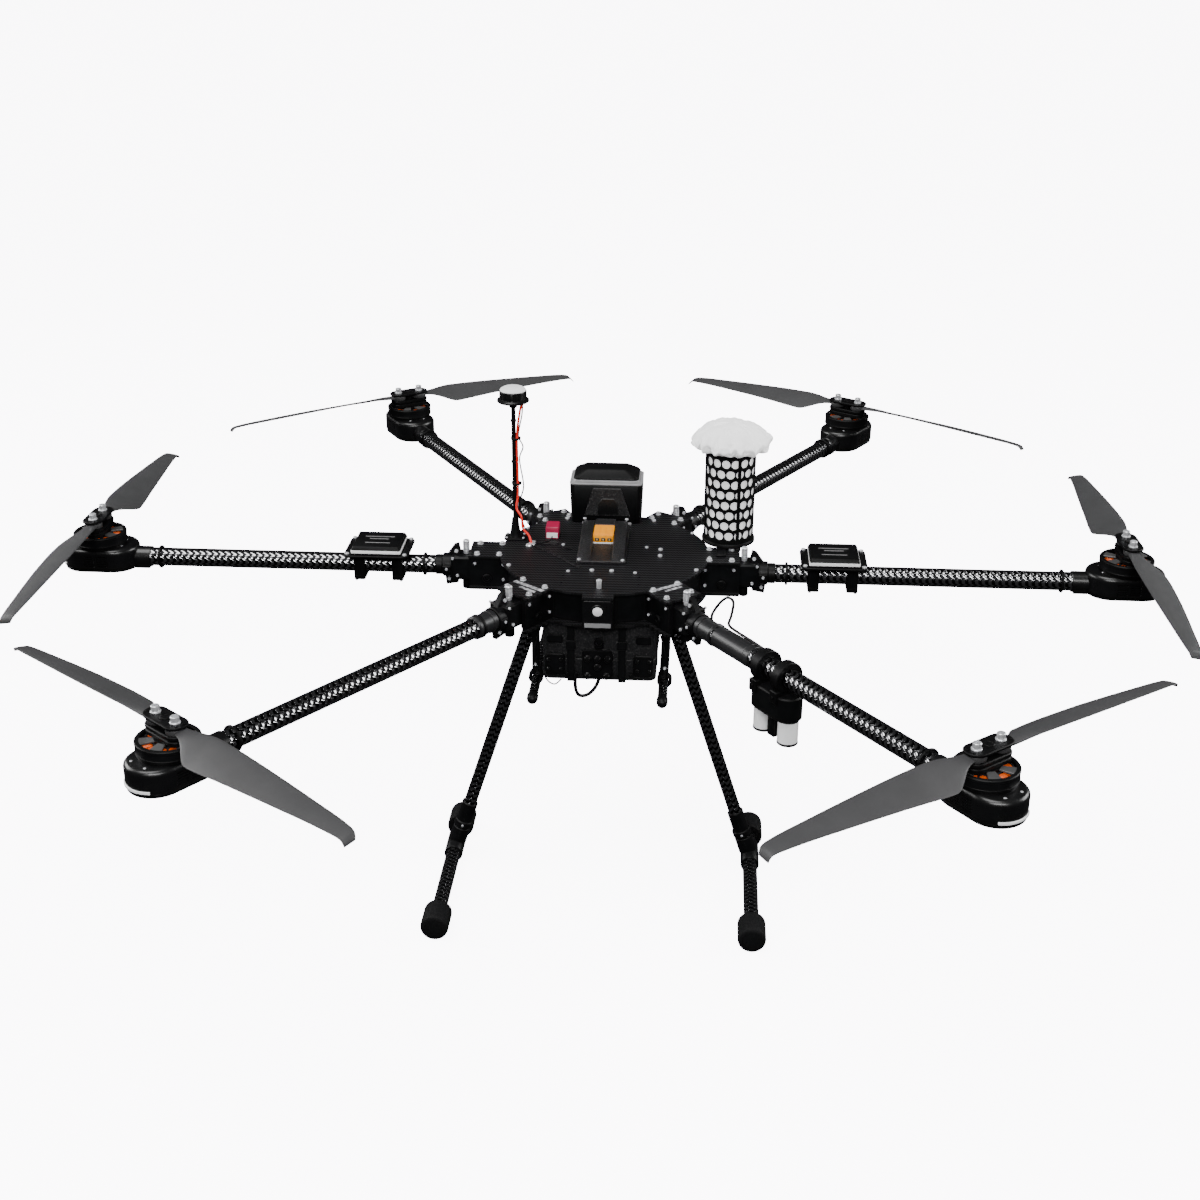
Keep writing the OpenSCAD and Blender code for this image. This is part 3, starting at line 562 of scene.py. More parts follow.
def build_rotor(name):
    body, place = f"rotor_{name}_body", rotor_frame(name)
    bell = Shape().add(ring_solid([(31.5, 21.5), (35, 21.5), (35.5, 22.3), (35.5, 24.2), (35.1, 24.6),
        (35.1, 32.6), (35.5, 33), (35.5, 35), (34.6, 36), (30.6, 36), (30.2, 35.2), (31.5, 33.5)], 72))
    bell.add(ring_solid([(3, 30), (13, 30), (15, 33.2), (15, 36), (3, 36)], 40))
    bell.add(rod(3, 20, 31))
    obj = bell.build(f"motor bell {name}", "satin", body, "black_metal", place)
    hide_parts(f"rotor_{name}")
    spokes = Shape()
    for k in range(6):
        t = at(0, 0, 0, 60 * k)
        spokes.add(prism([(14, -4.6), (31.2, -7.4), (31.2, 7.4), (14, 4.6)], 33.4, 35.6, 0.4), t)
    spokes.build(f"bell spokes {name}", "spoke", body, "black_metal", place)
    block = Shape().add(prism(stadium(61.6, 25.6, 16), 36, 42, 1.0))
    block.add(prism(stadium(62, 26, 16), 43.2, 48, 1.0))
    block.add(prism(stadium(58, 21, 16), 41.5, 44, 0.3))
    block.add(lathe([(5, 47.5), (5, 56.5)], 24))
    block.add(prism(stadium(64, 28, 16), 56, 59.5, 0.8))
    block.add(lathe([(6.4, 59.4), (6.4, 60.3), (5.9, 60.7), (4.6, 60.7), (4.3, 60.3), (0.1, 60.2)], 32))
    for s in (-1, 1):
        for y in (-8.5, 8.5):
            block.add(rod(1.7, 59.3, 60.4, 0.3, 12), at(s * 26.5, y * 0.6))
    block.build(f"blade clamp {name}", "black", body, "black_metal", place)
    bolts = Shape()
    for s in (-1, 1):
        bolts.add(lathe([(6, 59.4), (6, 60.6), (5.6, 60.9), (4, 60.9)], 28), at(s * BOLT_X, 0))
        bolts.add(rod(4, 46.5, 61, 0.3, 24), at(s * BOLT_X, 0))
        bolts.add(cap_screw(4.8, 6.9, 28), at(s * BOLT_X, 0, 60.5))
    bolts.build(f"blade bolts {name}", "steel", body, "steel", place)


# ---------------------------------------------------------------- pods
def build_pod(name):
    body = f"arm_{name}_body"
    place = arm_frame(name) @ at(ARMS[name][1], 0, 0)
    r, half = 33.0, 19.0
    outline, normals, side = [], [], []
    for e in (1, -1):
        for t in np.linspace(-e * PI / 2, (2 - e) * PI / 2, 25):
            outline.append((e * half + r * math.cos(t), r * math.sin(t)))
            normals.append((math.cos(t), math.sin(t)))
            side.append(0)
        for x in np.linspace(e * half, -e * half, 27)[1:-1]:
            outline.append((x, e * r))
            normals.append((0, e))
            side.append(1 if 1.6 < abs(x) < 15.5 else 0)
    levels = [(-8, 0.4, 0), (-7.4, 0, 0), (-5, 0, 0)]
    for k in range(5):
        z = -4.4 + 3.4 * k
        levels += [(z, 0, 0), (z + 0.35, 0, 1), (z + 1.35, 0, 1), (z + 1.7, 0, 0)]
    levels += [(13.4, 0, 0), (15.4, 0.5, 0), (17.2, 1.7, 0), (18.4, 3.2, 0), (19, 5, 0)]
    rings = []
    for z, shrink, groove in levels:
        ring = []
        for p, q, vent in zip(outline, normals, side):
            d = shrink + 1.5 * groove * vent
            ring.append((p[0] - q[0] * d, p[1] - q[1] * d, z))
        rings.append(ring)
    shape = Shape().add(loft(rings))
    shape.add(rod(14.2, -70, -44, 0.8, 40), along_x())
    shape.add(box(-66, -46, -5, 5, -16.5, -10, 0.8))
    obj = shape.build(f"motor pod {name}", "gloss", body, "black_plastic", place, smooth=30)
    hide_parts(f"pod_{name}")
    base = Shape().add(prism(stadium(102, 64, 18), -13, -8.3, 0.8))
    base.add(ring_solid([(27.5, 19), (34, 19), (34, 20.6), (33.4, 21.1), (27.5, 21.1)], 56))
    base.build(f"pod base plate {name}", "satin", body, "black_plastic", place)
    feet = Shape()
    for sx, sy in CORNERS:
        feet.add(cap_screw(2.6, 2), at(sx * 30, sy * 20, -13) @ Matrix.Rotation(PI, 4, "X"))
        feet.add(rod(1.6, 18.6, 19.6, 0.2, 12), at(sx * 36 + 4, sy * 12))
    feet.build(f"pod screws {name}", "steel", body, "steel", place)
    lamp = Shape()
    arc = [math.radians(a) for a in np.linspace(-42, 42, 25)]
    outer = [(half + 34.1 * math.cos(t), 34.1 * math.sin(t)) for t in arc]
    inner = [(half + 32 * math.cos(t), 32 * math.sin(t)) for t in arc[::-1]]
    lamp.add(prism(outer + inner, -7.2, -4.0, 0.3))
    lamp.build(f"pod lamp bar {name}", "lens", body, "pale_plastic", place)
    stator = Shape()
    for k in range(12):
        t = at(0, 0, 0, 30 * k + 7)
        stator.add(prism(rrect(11.5, 8.6, 3.2, 4), 21.6, 32.4, 1.6), t @ at(22.6, 0))
    stator.build(f"stator windings {name}", "copper", body, "black_plastic", place)
    core = Shape().add(ring_solid([(3.2, 19), (16.2, 19), (16.8, 20), (16.8, 31.6), (3.2, 31.6)], 36))
    for k in range(12):
        t = at(0, 0, 0, 30 * k + 7)
        core.add(box(28.7, 30.2, -5.4, 5.4, 22.4, 31.6, 0.3), t)
    core.build(f"stator core {name}", "grey", body, "black_plastic", place)


# ---------------------------------------------------------------- arms
def build_arm(name):
    _, reach, wing, _, _ = ARMS[name]
    body, place = f"arm_{name}_body", arm_frame(name)
    hinge = wing - HINGE_BACK
    front = name.startswith("front")
    tube = Shape().add(tube_skin(TUBE_R, hinge + 38, reach - 40))
    obj = tube.build(f"carbon arm {name}", "tube", body, "carbon_tube", place)
    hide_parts(f"arm_{name}")
    root = Shape()
    root.add(sleeve(4.1, 17, -16, 16, 0.8), along_y(hinge, 0, -HINGE_DROP))
    root.add(box(hinge + 12, hinge + 50, -16, 16, -16, 17, 2.0))
    root.add(box(hinge, hinge + 14, -16, 16, -9, 17, 1.0))
    root.add(rod(16, 49, 62, 1.0, 44), along_x(hinge))
    root.add(box(hinge + 50, hinge + 61, -17.5, -14.5, -4, 4, 0.8))
    root.add(box(hinge + 50, hinge + 61, 14.5, 17.5, -4, 4, 0.8))
    for lug in ([(36, 12), (58, 13), (46, 30), (40, 32)], [(38, -12), (42, -25), (58, -28), (60, -12)]):
        side = along_y(hinge, 4, 0, -1)
        root.add(prism(lug, 0, 8, 0.6), side)
    root.add(rod(6.5, -33, -13, 1.0, 28), at(hinge + 30, 0))
    root.build(f"arm root {name}", "satin", body, "black_metal", place)
    bright = Shape()
    for x, z, r in ((43, 22, 2.6), (54, -19, 2.6), (47, 15.5, 1.8), (41, -9, 2.2)):
        for s in (-1, 1):
            bright.add(cap_screw(r, 2.4, 16), along_y(hinge + x, s * (4 if abs(z) > 17 else 15.8), z, s))
    bright.add(rod(3.6, -34.2, -33, 0.4, 20), at(hinge + 30, 0))
    for s in (-1, 1):
        bright.add(cap_screw(2, 1.6, 14), along_y(hinge + 55.5, s * 17.2, 0, s))
    bright.build(f"arm root screws {name}", "steel", body, "steel", place)
    trim = Shape()
    x0 = hinge + 62
    if front:
        trim.add(rod(13.8, 0, 34, 0.8, 44), along_x(x0))
        trim.add(rod(15, 6, 9, 0.6, 44), along_x(x0))
        trim.add(rod(15.2, 29, 33, 0.8, 44), along_x(x0))
    else:
        trim.add(rod(13.8, 0, 10, 0.8, 44), along_x(x0))
    if name == "front_right":
        trim.add(rod(14.2, 258, 330, 0.8, 44), along_x())
        trim.add(rod(14.6, 318, 321, 0.6, 44), along_x())
    trim.build(f"arm sleeve {name}", "sleeve" if front else "satin", body, "black_metal", place)
    rings = Shape()
    if name != "front_right":
        rings.add(sleeve(12.4, 15.6, 243.5, 246.5, 0.6), along_x())
    rings.add(sleeve(12.4, 15.6, reach - 84, reach - 81, 0.6), along_x())
    rings.build(f"tie rings {name}", "black", body, "black_plastic", place)
    pull = Shape()
    profile = [(3, -12), (3, 17.4), (4, 17.6), (4, 20.4), (3.4, 21), (4.6, 21.6)]
    for k in range(5):
        z = 22.4 + 2.4 * k
        profile += [(4.6, z), (4.25, z + 0.5), (4.25, z + 1.3), (4.6, z + 1.8)]
    profile += [(4.6, 35.2), (4.2, 36.2), (3.2, 37)]
    pull.add(lathe(profile, 28))
    obj = pull.build(f"pull pin {name}", "steel", f"pin_{name}_body", "steel", place @ at(hinge + 30, 0))
    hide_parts(f"pin_{name}")


def build_position_box(name):
    body, place = f"arm_{name}_body", arm_frame(name) @ at(307, 0, 0)
    shape = Shape()
    for x in (-26, 26):
        shape.add(prism(rrect(15, 34, 1.5, 3), -19, -12.6, 0.8), at(x, 0))
        shape.add(box(x - 7.5, x + 7.5, -17, -12.7, -13, 20.5, 0.8))
        shape.add(box(x - 7.5, x + 7.5, 12.7, 17, -13, 20.5, 0.8))
        shape.add(box(x - 7.5, x + 7.5, -14, 14, 12.7, 20.5, 0.8))
    shape.add(prism(rrect(88, 70, 9, 6), 20, 23, 0.6))
    shape.add(prism(rrect(68, 62, 2.5, 4), 22.8, 25.2, 0.5))
    shape.add(stack([(66.6, 60.6, 29), (65.6, 59.2, 31), (63, 55, 33.6), (62.2, 54.2, 34)], 2.2))
    obj = shape.build(f"position box {name}", "black", body, "black_plastic", place)
    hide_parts(f"position_box_{name}")
    white = Shape().add(stack([(67.4, 61.4, 25.2), (67.4, 61.4, 28.6), (66.8, 60.8, 29.2)], 2.2))
    white.build(f"position box lid {name}", "white", body, "pale_plastic", place)
    lines = Shape()
    turned = at(0, 0, 0, 180) if name == "left" else at(0, 0)
    for w, y in ((40, 10), (26, 2), (34, -12)):
        lines.add(box(-w / 2, w / 2, y - 0.8, y + 0.8, 33.9, 34.15, 0.1), turned)
    lines.build(f"position box lines {name}", "pale", body, "pale_plastic", place)
    screws = Shape()
    for sx, sy in CORNERS:
        screws.add(cap_screw(3, 2.4, 18), at(sx * 39, sy * 29, 22.9))
        screws.add(cap_screw(1.9, 1.6, 14), at(sx * 26 + 4.5 * sx, sy * 14.8, -18.8) @ Matrix.Rotation(PI,
            4, "X"))
    screws.build(f"position box screws {name}", "steel", body, "steel", place)


STROBE_LEAD = [(236, 4, 15.5), (232, 8, 20), (236, 16, 34), (246, 20, 44), (258, 20, 42), (262, 14, 26),
    (266, 8, 17.5), (290, 4, 17.5), (320, 3, 17.5), (346, 0, 18.5)]


def build_strobe():
    name = "front_right"
    body, place = f"arm_{name}_body", arm_frame(name)
    shape = Shape()
    for x in (344, 383):
        shape.add(sleeve(12.6, 20, x, x + 13, 0.8), along_x())
        shape.add(box(x, x + 13, -20, 20, -30, -14, 1.0))
    shape.add(prism(stadium(76, 36, 14), -52, -20, 1.6), at(374, 0))
    shape.add(box(367.5, 380.5, -8, 8, -84, -51, 1.2))
    for x in (351, 397):
        shape.add(rod(13, -85, -82, 0.8, 32), at(x, 0))
        shape.add(rod(13.6, -53.5, -51, 0.6, 32), at(x, 0))
    obj = shape.build("strobe housing", "black", body, "black_plastic", place)
    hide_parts("strobe_light")
    lens = Shape()
    for x in (351, 397):
        lens.add(lathe([(12, -82), (12.6, -81.4), (12.6, -54.5), (13, -54), (13, -52)], 36), at(x, 0))
    lens.build("strobe lenses", "lens", body, "pale_plastic", place)
    Shape().add(hose(spline(STROBE_LEAD), 1.8)).build("strobe lead", "cable", body, "cable_rubber", place)
    screws = Shape()
    for x in (350.5, 389.5):
        for s in (-1, 1):
            screws.add(cap_screw(2, 1.6, 14), along_y(x, s * 19.8, -22, s))
    screws.build("strobe screws", "satin", body, "black_metal", place)


for arm_name in ARMS:
    build_arm(arm_name)
    build_pod(arm_name)
    build_rotor(arm_name)
    build_blade(arm_name, 0, "a")
    build_blade(arm_name, 180, "b")
build_position_box("left")
build_position_box("right")
build_strobe()

# ---------------------------------------------------------------- hub and deck
ROOT = "airframe"
HUB0 = at(0, HUB.y, 0)


def wing_screws(reach):
    return [(back_, side) for back_ in (11, 28 if reach < 180 else 41) for side in (19, -19)]


DECK_SCREWS = [(-124, -56), (124, -56), (-60, 118), (62, 118), (75, 12), (75, -10), (-13, -66), (13, -66)]
SMALL_SCREWS = [(56, 19), (-58, 21), (117, 75), (-112, 78), (141, 23), (141, -12), (-141, 20), (-141, -20),
    (44, -70), (-44, -70)]


def build_deck_fasteners():
    s, dark = Shape(), Shape()
    span = 32 + 2 * (0.3 + 5.5)  # root block, its play and the two cheeks
    for heading, _, wing, _, _ in ARMS.values():
        local = HUB0 @ spin(heading)
        hinge = wing - HINGE_BACK
        for back_, side in wing_screws(wing):
            s.add(lathe([(4.2, 0), (4.2, 0.6), (3.4, 0.7)], 20), local @ at(wing - back_, side, DECK_Z))
            s.add(cap_screw(3.3, 3.0, 20), local @ at(wing - back_, side, DECK_Z + 0.5))
        s.add(rod(4, -span / 2, span / 2, 0.3, 28), local @ along_y(hinge, 0, HUB.z - HINGE_DROP))
        for e in (-1, 1):
            dark.add(cap_screw(6, 3.4, 24), local @ along_y(hinge, e * span / 2, HUB.z - HINGE_DROP, e))
            for x, z in ((-46, 11), (-46, -11), (-8, 12)):
                s.add(cap_screw(2.2, 1.4, 14), local @ along_y(wing + x, e * 21.8, HUB.z + z, e))
    for x, y in DECK_SCREWS:
        s.add(cap_screw(3, 2.6, 18), HUB0 @ at(x, y, DECK_Z))
    for x, y in SMALL_SCREWS:
        s.add(cap_screw(2.4, 2.0, 16), HUB0 @ at(x, y, DECK_Z))
    for x in (-34, 28):
        for y, z in ((-38.5, 4), (72, 19)):
            s.add(cap_screw(2.5, 2.0, 16), HUB0 @ at(x + (2 if x < 0 else -2), y, DECK_Z + z - 0.1))
    dark.build("hinge bolt heads", "satin", ROOT, "steel")
    s.add(rod(3.2, 0, 9, 0.5, 18), HUB0 @ at(0, -122, DECK_Z))
    s.add(cap_screw(3.6, 3.2, 18), HUB0 @ at(0, -122, DECK_Z + 9))
    obj = s.build("deck screws and hinge bolts", "steel", ROOT, "steel")
    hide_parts("deck_fasteners")


def build_nose():
    front = along_y(0, HUB.y - 151, 0, -1)
    s = Shape().add(prism(rrect(38, 38, 3), 0.0, 0.8, 0.3), front @ at(0, 440))
    s.add(ring_solid([(6.6, 0.6), (9, 0.6), (9, 1.8), (8.4, 2.4), (6.6, 2.4)], 40), front @ at(0, 445))
    s.build("nose panel", "gloss", ROOT, "black_metal")
    Shape().add(lathe([(6.5, 0.7), (6.5, 1.6), (4, 2.5), (0.1, 2.8)], 32),
        front @ at(0, 445)).build("nose lamp", "lens", ROOT, "pale_plastic")
    Shape().add(prism(rrect(34, 6, 1), 0.7, 1.4, 0.2), front @ at(0, 425)).build("nose strip", "pale", ROOT,
        "pale_plastic")
    strips = Shape()
    for name, x in (("front_left", 151), ("front_right", 142)):
        local = HUB0 @ spin(ARMS[name][0])
        strips.add(prism(rrect(6, 50, 1), 0.0, 0.35, 0.1), local @ at(x, 0, DECK_Z + 0.02))
        strips.add(prism(rrect(4.5, 27, 1), 0.0, 0.35, 0.1), local @ at(x + 9, 6, DECK_Z + 0.02))
    strips.build("wing label strips", "label", ROOT, "pale_plastic")


def build_hood():
    cx, y0, z0 = -5, HUB.y + 103, DECK_Z
    cy = y0 + 30.5
    def level(w, d, z, r, dy=0.0):
        return [(cx + p[0], cy + dy + p[1], z0 + z) for p in rrect(w, d, r, 6)]
    s = Shape().add(loft([level(96, 53, 0, 6), level(98, 55, 1.2, 7), level(100, 57, 28, 7),
        level(101.6, 59.6, 55.6, 7), level(100, 58, 56.8, 7)]))
    obj = s.build("hood body", "black", ROOT, "black_plastic")
    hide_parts("hood_body")
    band = Shape().add(loft([level(100.5, 59, 57, 7), level(102, 60, 57.6, 7), level(102, 60, 58.8, 7),
        level(98, 58, 59.4, 7), level(94, 57, 59.8, 7), level(93, 56.4, 63.2, 7),
        level(92, 55.6, 63.8, 7)]))
    obj = band.build("hood lid band", "pale", ROOT, "pale_plastic")
    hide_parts("hood_lid")
    cap = Shape().add(loft([level(91, 54.8, 63.7, 8, 0.3), level(91, 54.8, 65.2, 8, 0.3),
        level(88, 52, 67.2, 8), level(64, 34, 75.4, 7, -3), level(58, 28, 76.8, 6, -4),
        level(52, 22, 77.3, 5, -4)]))
    cap.build("hood cap", "black", ROOT, "black_plastic")
    # trapezoid boss on the front face, with a dark arch let into it
    f = along_y(0, y0 + 2.2, 0, -1)
    boss = Shape().add(prism([(-35, z0 + 12), (29, z0 + 12), (27, z0 + 18), (16, z0 + 53), (-23, z0 + 53),
        (-33.5, z0 + 18)], -1.0, 2.4, 1.0), f)
    boss.build("hood boss", "pebble", ROOT, "black_plastic")
    arch = Shape().add(prism([(-17, z0 + 14), (13, z0 + 14), (11.5, z0 + 30), (6, z0 + 38), (-10, z0 + 38),
        (-15.5, z0 + 30)], 2.2, 3.4, 0.5), f)
    arch.build("hood arch", "gloss", ROOT, "black_plastic")
    lip = Shape().add(box(cx - 33, cx + 36, y0 - 3.6, y0 - 0.4, z0, z0 + 3.6, 0.8))
    lip.build("hood front lip", "pale", ROOT, "pale_plastic")


def build_connectors():
    base = HUB0 @ at(-3, 0, DECK_Z)
    s = Shape().add(prism(rrect(66, 118, 4), 0.05, 4, 0.8), base @ at(0, 17))
    side = base @ Matrix.Rotation(PI / 2, 4, "Z") @ Matrix.Rotation(PI / 2, 4, "X")
    cheek = [(-40, 4), (76, 4), (73, 17), (68, 19), (14, 16.4), (4, 14.6), (-34, 5.6)]
    for x in (-31, 14):
        s.add(prism(cheek, x, x + 17, 1.2), side)
    s.add(prism([(-38, 4), (14, 4), (14, 6.6), (-10, 6.2)], -14, 14, 0.4), side)
    s.add(box(-14, 14, 53, 76, 4, 19, 1.2), base)
    obj = s.build("connector block", "pebble", ROOT, "black_plastic")
    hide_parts("connector_block")
    c = HUB0 @ at(-3.1, 14.2, DECK_Z)
    y = Shape().add(stack([(27, 36.4, 8.2), (27.6, 37, 8.8), (27.6, 37, 17.9), (26.8, 36.2, 18.7)], 1.6,
        y=19.4), c)
    for x in (-8.2, 0, 8.2):
        y.add(box(x - 2.8, x + 2.8, 4, 30, 18.6, 19.2, 0.3), c)
    obj = y.build("power connector", "yellow", ROOT, "yellow_plastic")
    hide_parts("power_connector")
    Shape().add(box(-13.6, 13.6, 1.2, 38, 4.3, 8.4, 0.6), c).build("power connector skirt", "white", ROOT,
        "pale_plastic")
    pins = Shape()
    dark = Shape()
    for x in (-8.4, 0, 8.4):
        dark.add(box(x - 2.9, x + 2.9, 0.4, 2.4, 9.6, 14.4, 0.8), c)
        pins.add(rod(1.3, 0, 1.6, 0.3, 12), c @ along_y(x, 0.5, 12, -1))
    dark.build("power connector sockets", "grey", ROOT, "black_plastic")
    pins.build("power connector pins", "brass", ROOT, "steel")
    m = HUB0 @ at(-75, 54, DECK_Z)
    obj = Shape().add(stack([(17, 23, 0.05), (18, 24, 0.9), (18, 24, 16), (17, 23, 17)], 1.8),
        m).build("charge connector", "maroon", ROOT, "maroon_plastic")
    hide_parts("charge_connector")
    Shape().add(box(-7.6, 7.6, -12.4, -11.6, 1.6, 9.2, 0.3), m).build("charge connector face", "white",
        ROOT, "pale_plastic")


# ---------------------------------------------------------------- mast
MX, MY = -125.5, 42 + HUB.y


def shifted(points, x, y):
    return [(px + x, py + y, z) for px, py, z in points]


RED_LEAD = shifted([
    (12, -8, 659), (9, -8, 645), (5, -5, 615), (5, -5, 570), (5, -5, 530), (3, -9, 512), (10, -13, 500),
    (12, -14, 484), (20, -18, 476), (24, -22, 466.5)], MX, MY)
BLACK_LEAD = shifted([
    (12, 8, 659), (11, 4, 640), (6, 3, 612), (12, 2, 596), (7, 2, 578), (12, 2, 540), (6, 2, 515),
    (10, -2, 490), (16, -2, 474), (20, -10, 466)], MX, MY)
DECK_LEADS = [
    [(-104, 16, 465.6), (-80, -2, 465.8), (-58, -26, 465.6), (-40, -48, 465.8), (-26, -62, 465.6)],
    [(-100, 26, 465.6), (-84, 20, 465.8), (-66, 22, 465.6), (-58, 10, 465.8), (-44, 2, 465.6)],
    [(-75, 40, 468), (-76, 34, 466.5), (-80, 28, 465.8), (-92, 24, 465.6)],
]
BAY_LOOP = [
    (-30, -124, 342), (-31, -124, 330), (-30, -124, 318), (-26, -123, 310), (-18, -122, 309),
    (-10, -121, 314), (-4, -120, 322), (0, -118.6, 332)]
SIDE_LOOP = [(77.5, -104, 400), (83, -106, 380), (86, -107, 362), (83, -106, 345), (77.5, -104, 336)]
SIDE_LOOPS = [
    [(-72, -118, 334), (-66, -119, 326), (-58, -119, 323), (-50, -118, 330)],
    [(-x, y, z) for x, y, z in SIDE_LOOP],
    SIDE_LOOP,
]


def build_mast():
    m = at(MX, MY, DECK_Z)
    s = Shape().add(prism(rrect(30, 22, 5), 0.05, 3, 0.6), m)
    s.add(lathe([(8.6, 2.8), (8, 4), (7.2, 9), (5.6, 18), (4.6, 28), (4.4, 30), (3.4, 30.6)], 28), m)
    s.add(rod(3, 3, 196, 0.3, 24), m)
    s.add(rod(5.2, 188, 195.8, 0.6, 24), m)
    for z in (80, 110, 144, 168):
        s.add(ring_solid([(2.9, z), (3.8, z), (4, z + 0.3), (4, z + 2.7), (3.8, z + 3), (2.9, z + 3)], 24),
            m)
    obj = s.build("mast", "black", ROOT, "black_plastic")
    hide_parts("mast")
    p = at(MX, MY, DECK_Z + 196.01)
    puck = Shape().add(lathe([(20.5, 0), (21.5, 0.8), (21.5, 2.8), (20.6, 3.6), (18, 4.2), (17.5, 4.8),
        (17.5, 15.2), (17, 15.9)], 56), p)
    for k in range(14):
        puck.add(box(17.2, 18.1, -2.9, 2.9, 4.6, 15, 0.3), p @ Matrix.Rotation(2 * PI * k / 14, 4, "Z"))
    obj = puck.build("mast puck", "gloss", ROOT, "black_plastic")
    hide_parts("mast_puck")
    Shape().add(lathe([(17.3, 15.6), (17.5, 16.2), (16.8, 17.4), (13.6, 19.3), (11.5, 19.9), (0.1, 20)],
        56), p).build("mast puck top", "white", ROOT, "pale_plastic")
    screws = Shape()
    for sx, sy in CORNERS:
        screws.add(cap_screw(1.7, 1.6, 14), m @ at(sx * 11.5, sy * 7.5, 2.9))
    screws.build("mast foot screws", "steel", ROOT, "steel")


def build_cables():
    red = Shape().add(hose(spline(RED_LEAD, 5), 1.6))
    obj = red.build("red lead", "red", ROOT, "cable_rubber")
    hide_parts("held_cables")
    black = Shape().add(hose(spline(BLACK_LEAD, 5), 1.0, 8))
    for p in DECK_LEADS:
        black.add(hose(spline(shifted(p, 0, HUB.y), 5), 1.0, 8))
    black.add(hose(spline(shifted(BAY_LOOP, 0, HUB.y), 6), 2.4, 12))
    for p in SIDE_LOOPS:
        black.add(hose(spline(shifted(p, 0, HUB.y), 6), 1.0, 8))
    black.build("black leads", "cable", ROOT, "cable_rubber")
    ties = Shape()
    for z in (544, 608):
        ties.add(prism(rrect(13, 12, 3.5, 4), 0, 2.2, 0.4), at(MX + 3, MY - 1.5, z))
    ends = Shape()
    for x, y in ((MX + 24, MY - 22), (-100, 26 + HUB.y), (-104, 16 + HUB.y)):
        ends.add(lathe([(4.6, 0.05), (4.8, 0.6), (4, 2.4), (2.6, 3)], 16), at(x, y, DECK_Z))
    ties.build("mast cable ties", "cable", ROOT, "cable_rubber")
    ends.build("lead ring terminals", "steel", ROOT, "steel")


# ---------------------------------------------------------------- parachute
CAN = (166, 50 + HUB.y)
CAN_R, CAN_Z, CAN_H = 34, DECK_Z + 9, 125


def perforated_tube(rows=8, cols=16, hole=5.9, wall=1.6, z_low=4, z_high=121):
    """Staggered rows of round holes through a tube, each cell a square patch round its hole."""
    k = 6  # points along half a cell side
    cell_h = (z_high - z_low) / rows
    cell_w = 2 * PI * CAN_R / cols
    n = 8 * k
    w, h = cell_w / 2, cell_h / 2
    corners = [(-w, -h), (w, -h), (w, h), (-w, h)]
    edge = []
    for (x0, y0), (x1, y1) in zip(corners, corners[1:] + corners[:1]):
        steps = [i / (2 * k) for i in range(2 * k)]
        edge += [(x0 + (x1 - x0) * t, y0 + (y1 - y0) * t) for t in steps]
    bm = bmesh.new()

    def on(u, z, r):
        a = u / CAN_R
        return bm.verts.new(((r * math.cos(a)) * MM, (r * math.sin(a)) * MM, z * MM))

    for row in range(rows):
        zc = z_low + cell_h * (row + 0.5)
        for c in range(cols):
            uc = cell_w * (c + 0.5 * (row % 2))
            rims = []
            for r in (CAN_R, CAN_R - wall):
                outer = [on(uc + e[0], zc + e[1], r) for e in edge]
                inner = []
                for e in edge:
                    a = math.atan2(e[1], e[0])
                    inner.append(on(uc + hole * math.cos(a), zc + hole * math.sin(a), r))
                for i in range(n):
                    j = (i + 1) % n
                    quad = (outer[i], outer[j], inner[j], inner[i])
                    bm.faces.new(quad if r == CAN_R else quad[::-1])
                rims.append(inner)
            for i in range(n):
                j = (i + 1) % n
                bm.faces.new((rims[0][i], rims[0][j], rims[1][j], rims[1][i]))
    total = cols * 2 * k
    for z_edge, z_rim, low in ((z_low, 0, True), (z_high, CAN_H, False)):
        ring = []
        for r in (CAN_R, CAN_R - wall):
            ring.append([on(cell_w * (i / (2 * k) - 0.5), z_edge, r) for i in range(total)])
            ring.append([on(cell_w * (i / (2 * k) - 0.5), z_rim, r) for i in range(total)])
        for i in range(total):
            j = (i + 1) % total
            a, b, c, d = ring
            quads = [(a[i], b[i], b[j], a[j]), (b[i], d[i], d[j], b[j]), (d[i], c[i], c[j], d[j])]
            for q in quads:
                bm.faces.new(q if low else q[::-1])
    bmesh.ops.remove_doubles(bm, verts=bm.verts[:], dist=2e-5)
    bmesh.ops.recalc_face_normals(bm, faces=bm.faces[:])
    return bm


def build_canister():
    bm = perforated_tube()
    bm.transform(at(CAN[0] * MM, CAN[1] * MM, CAN_Z * MM))
    mesh = bpy.data.meshes.new("parachute_canister")
    bm.to_mesh(mesh)
    bm.free()
    mesh.shade_smooth()
    mesh.set_sharp_from_angle(angle=math.radians(30))
    obj = bpy.data.objects.new("parachute_canister", mesh)
    bpy.context.scene.collection.objects.link(obj)
    mesh.materials.append(MAT["black"])
    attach(obj, ROOT)
    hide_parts("parachute_tube")
    c = at(CAN[0], CAN[1], CAN_Z)
    s = Shape().add(lathe([(34, -6), (36, -5), (36, -1), (35.4, -0.2), (33, 0)], 56), c)
    s.add(ring_solid([(34.02, CAN_H - 3), (35, CAN_H - 3), (35.2, CAN_H - 2.4), (35.2, CAN_H - 0.4),
        (34.8, CAN_H), (34.02, CAN_H)], 64), c)
    for a in (20, 110, 200, 290):
        s.add(box(34.1, 35.2, -2.4, 2.4, -0.5, CAN_H - 2.5, 0.4), c @ spin(a))
    s.add(box(150, 163, -8, 28, DECK_Z + 0.05, DECK_Z + 3.4, 0.8), HUB0)
    s.add(box(176, 183, 15, 27, DECK_Z + 0.05, DECK_Z + 3.4, 0.8), HUB0)
    s.build("canister base and bands", "black", ROOT, "canister_plastic")


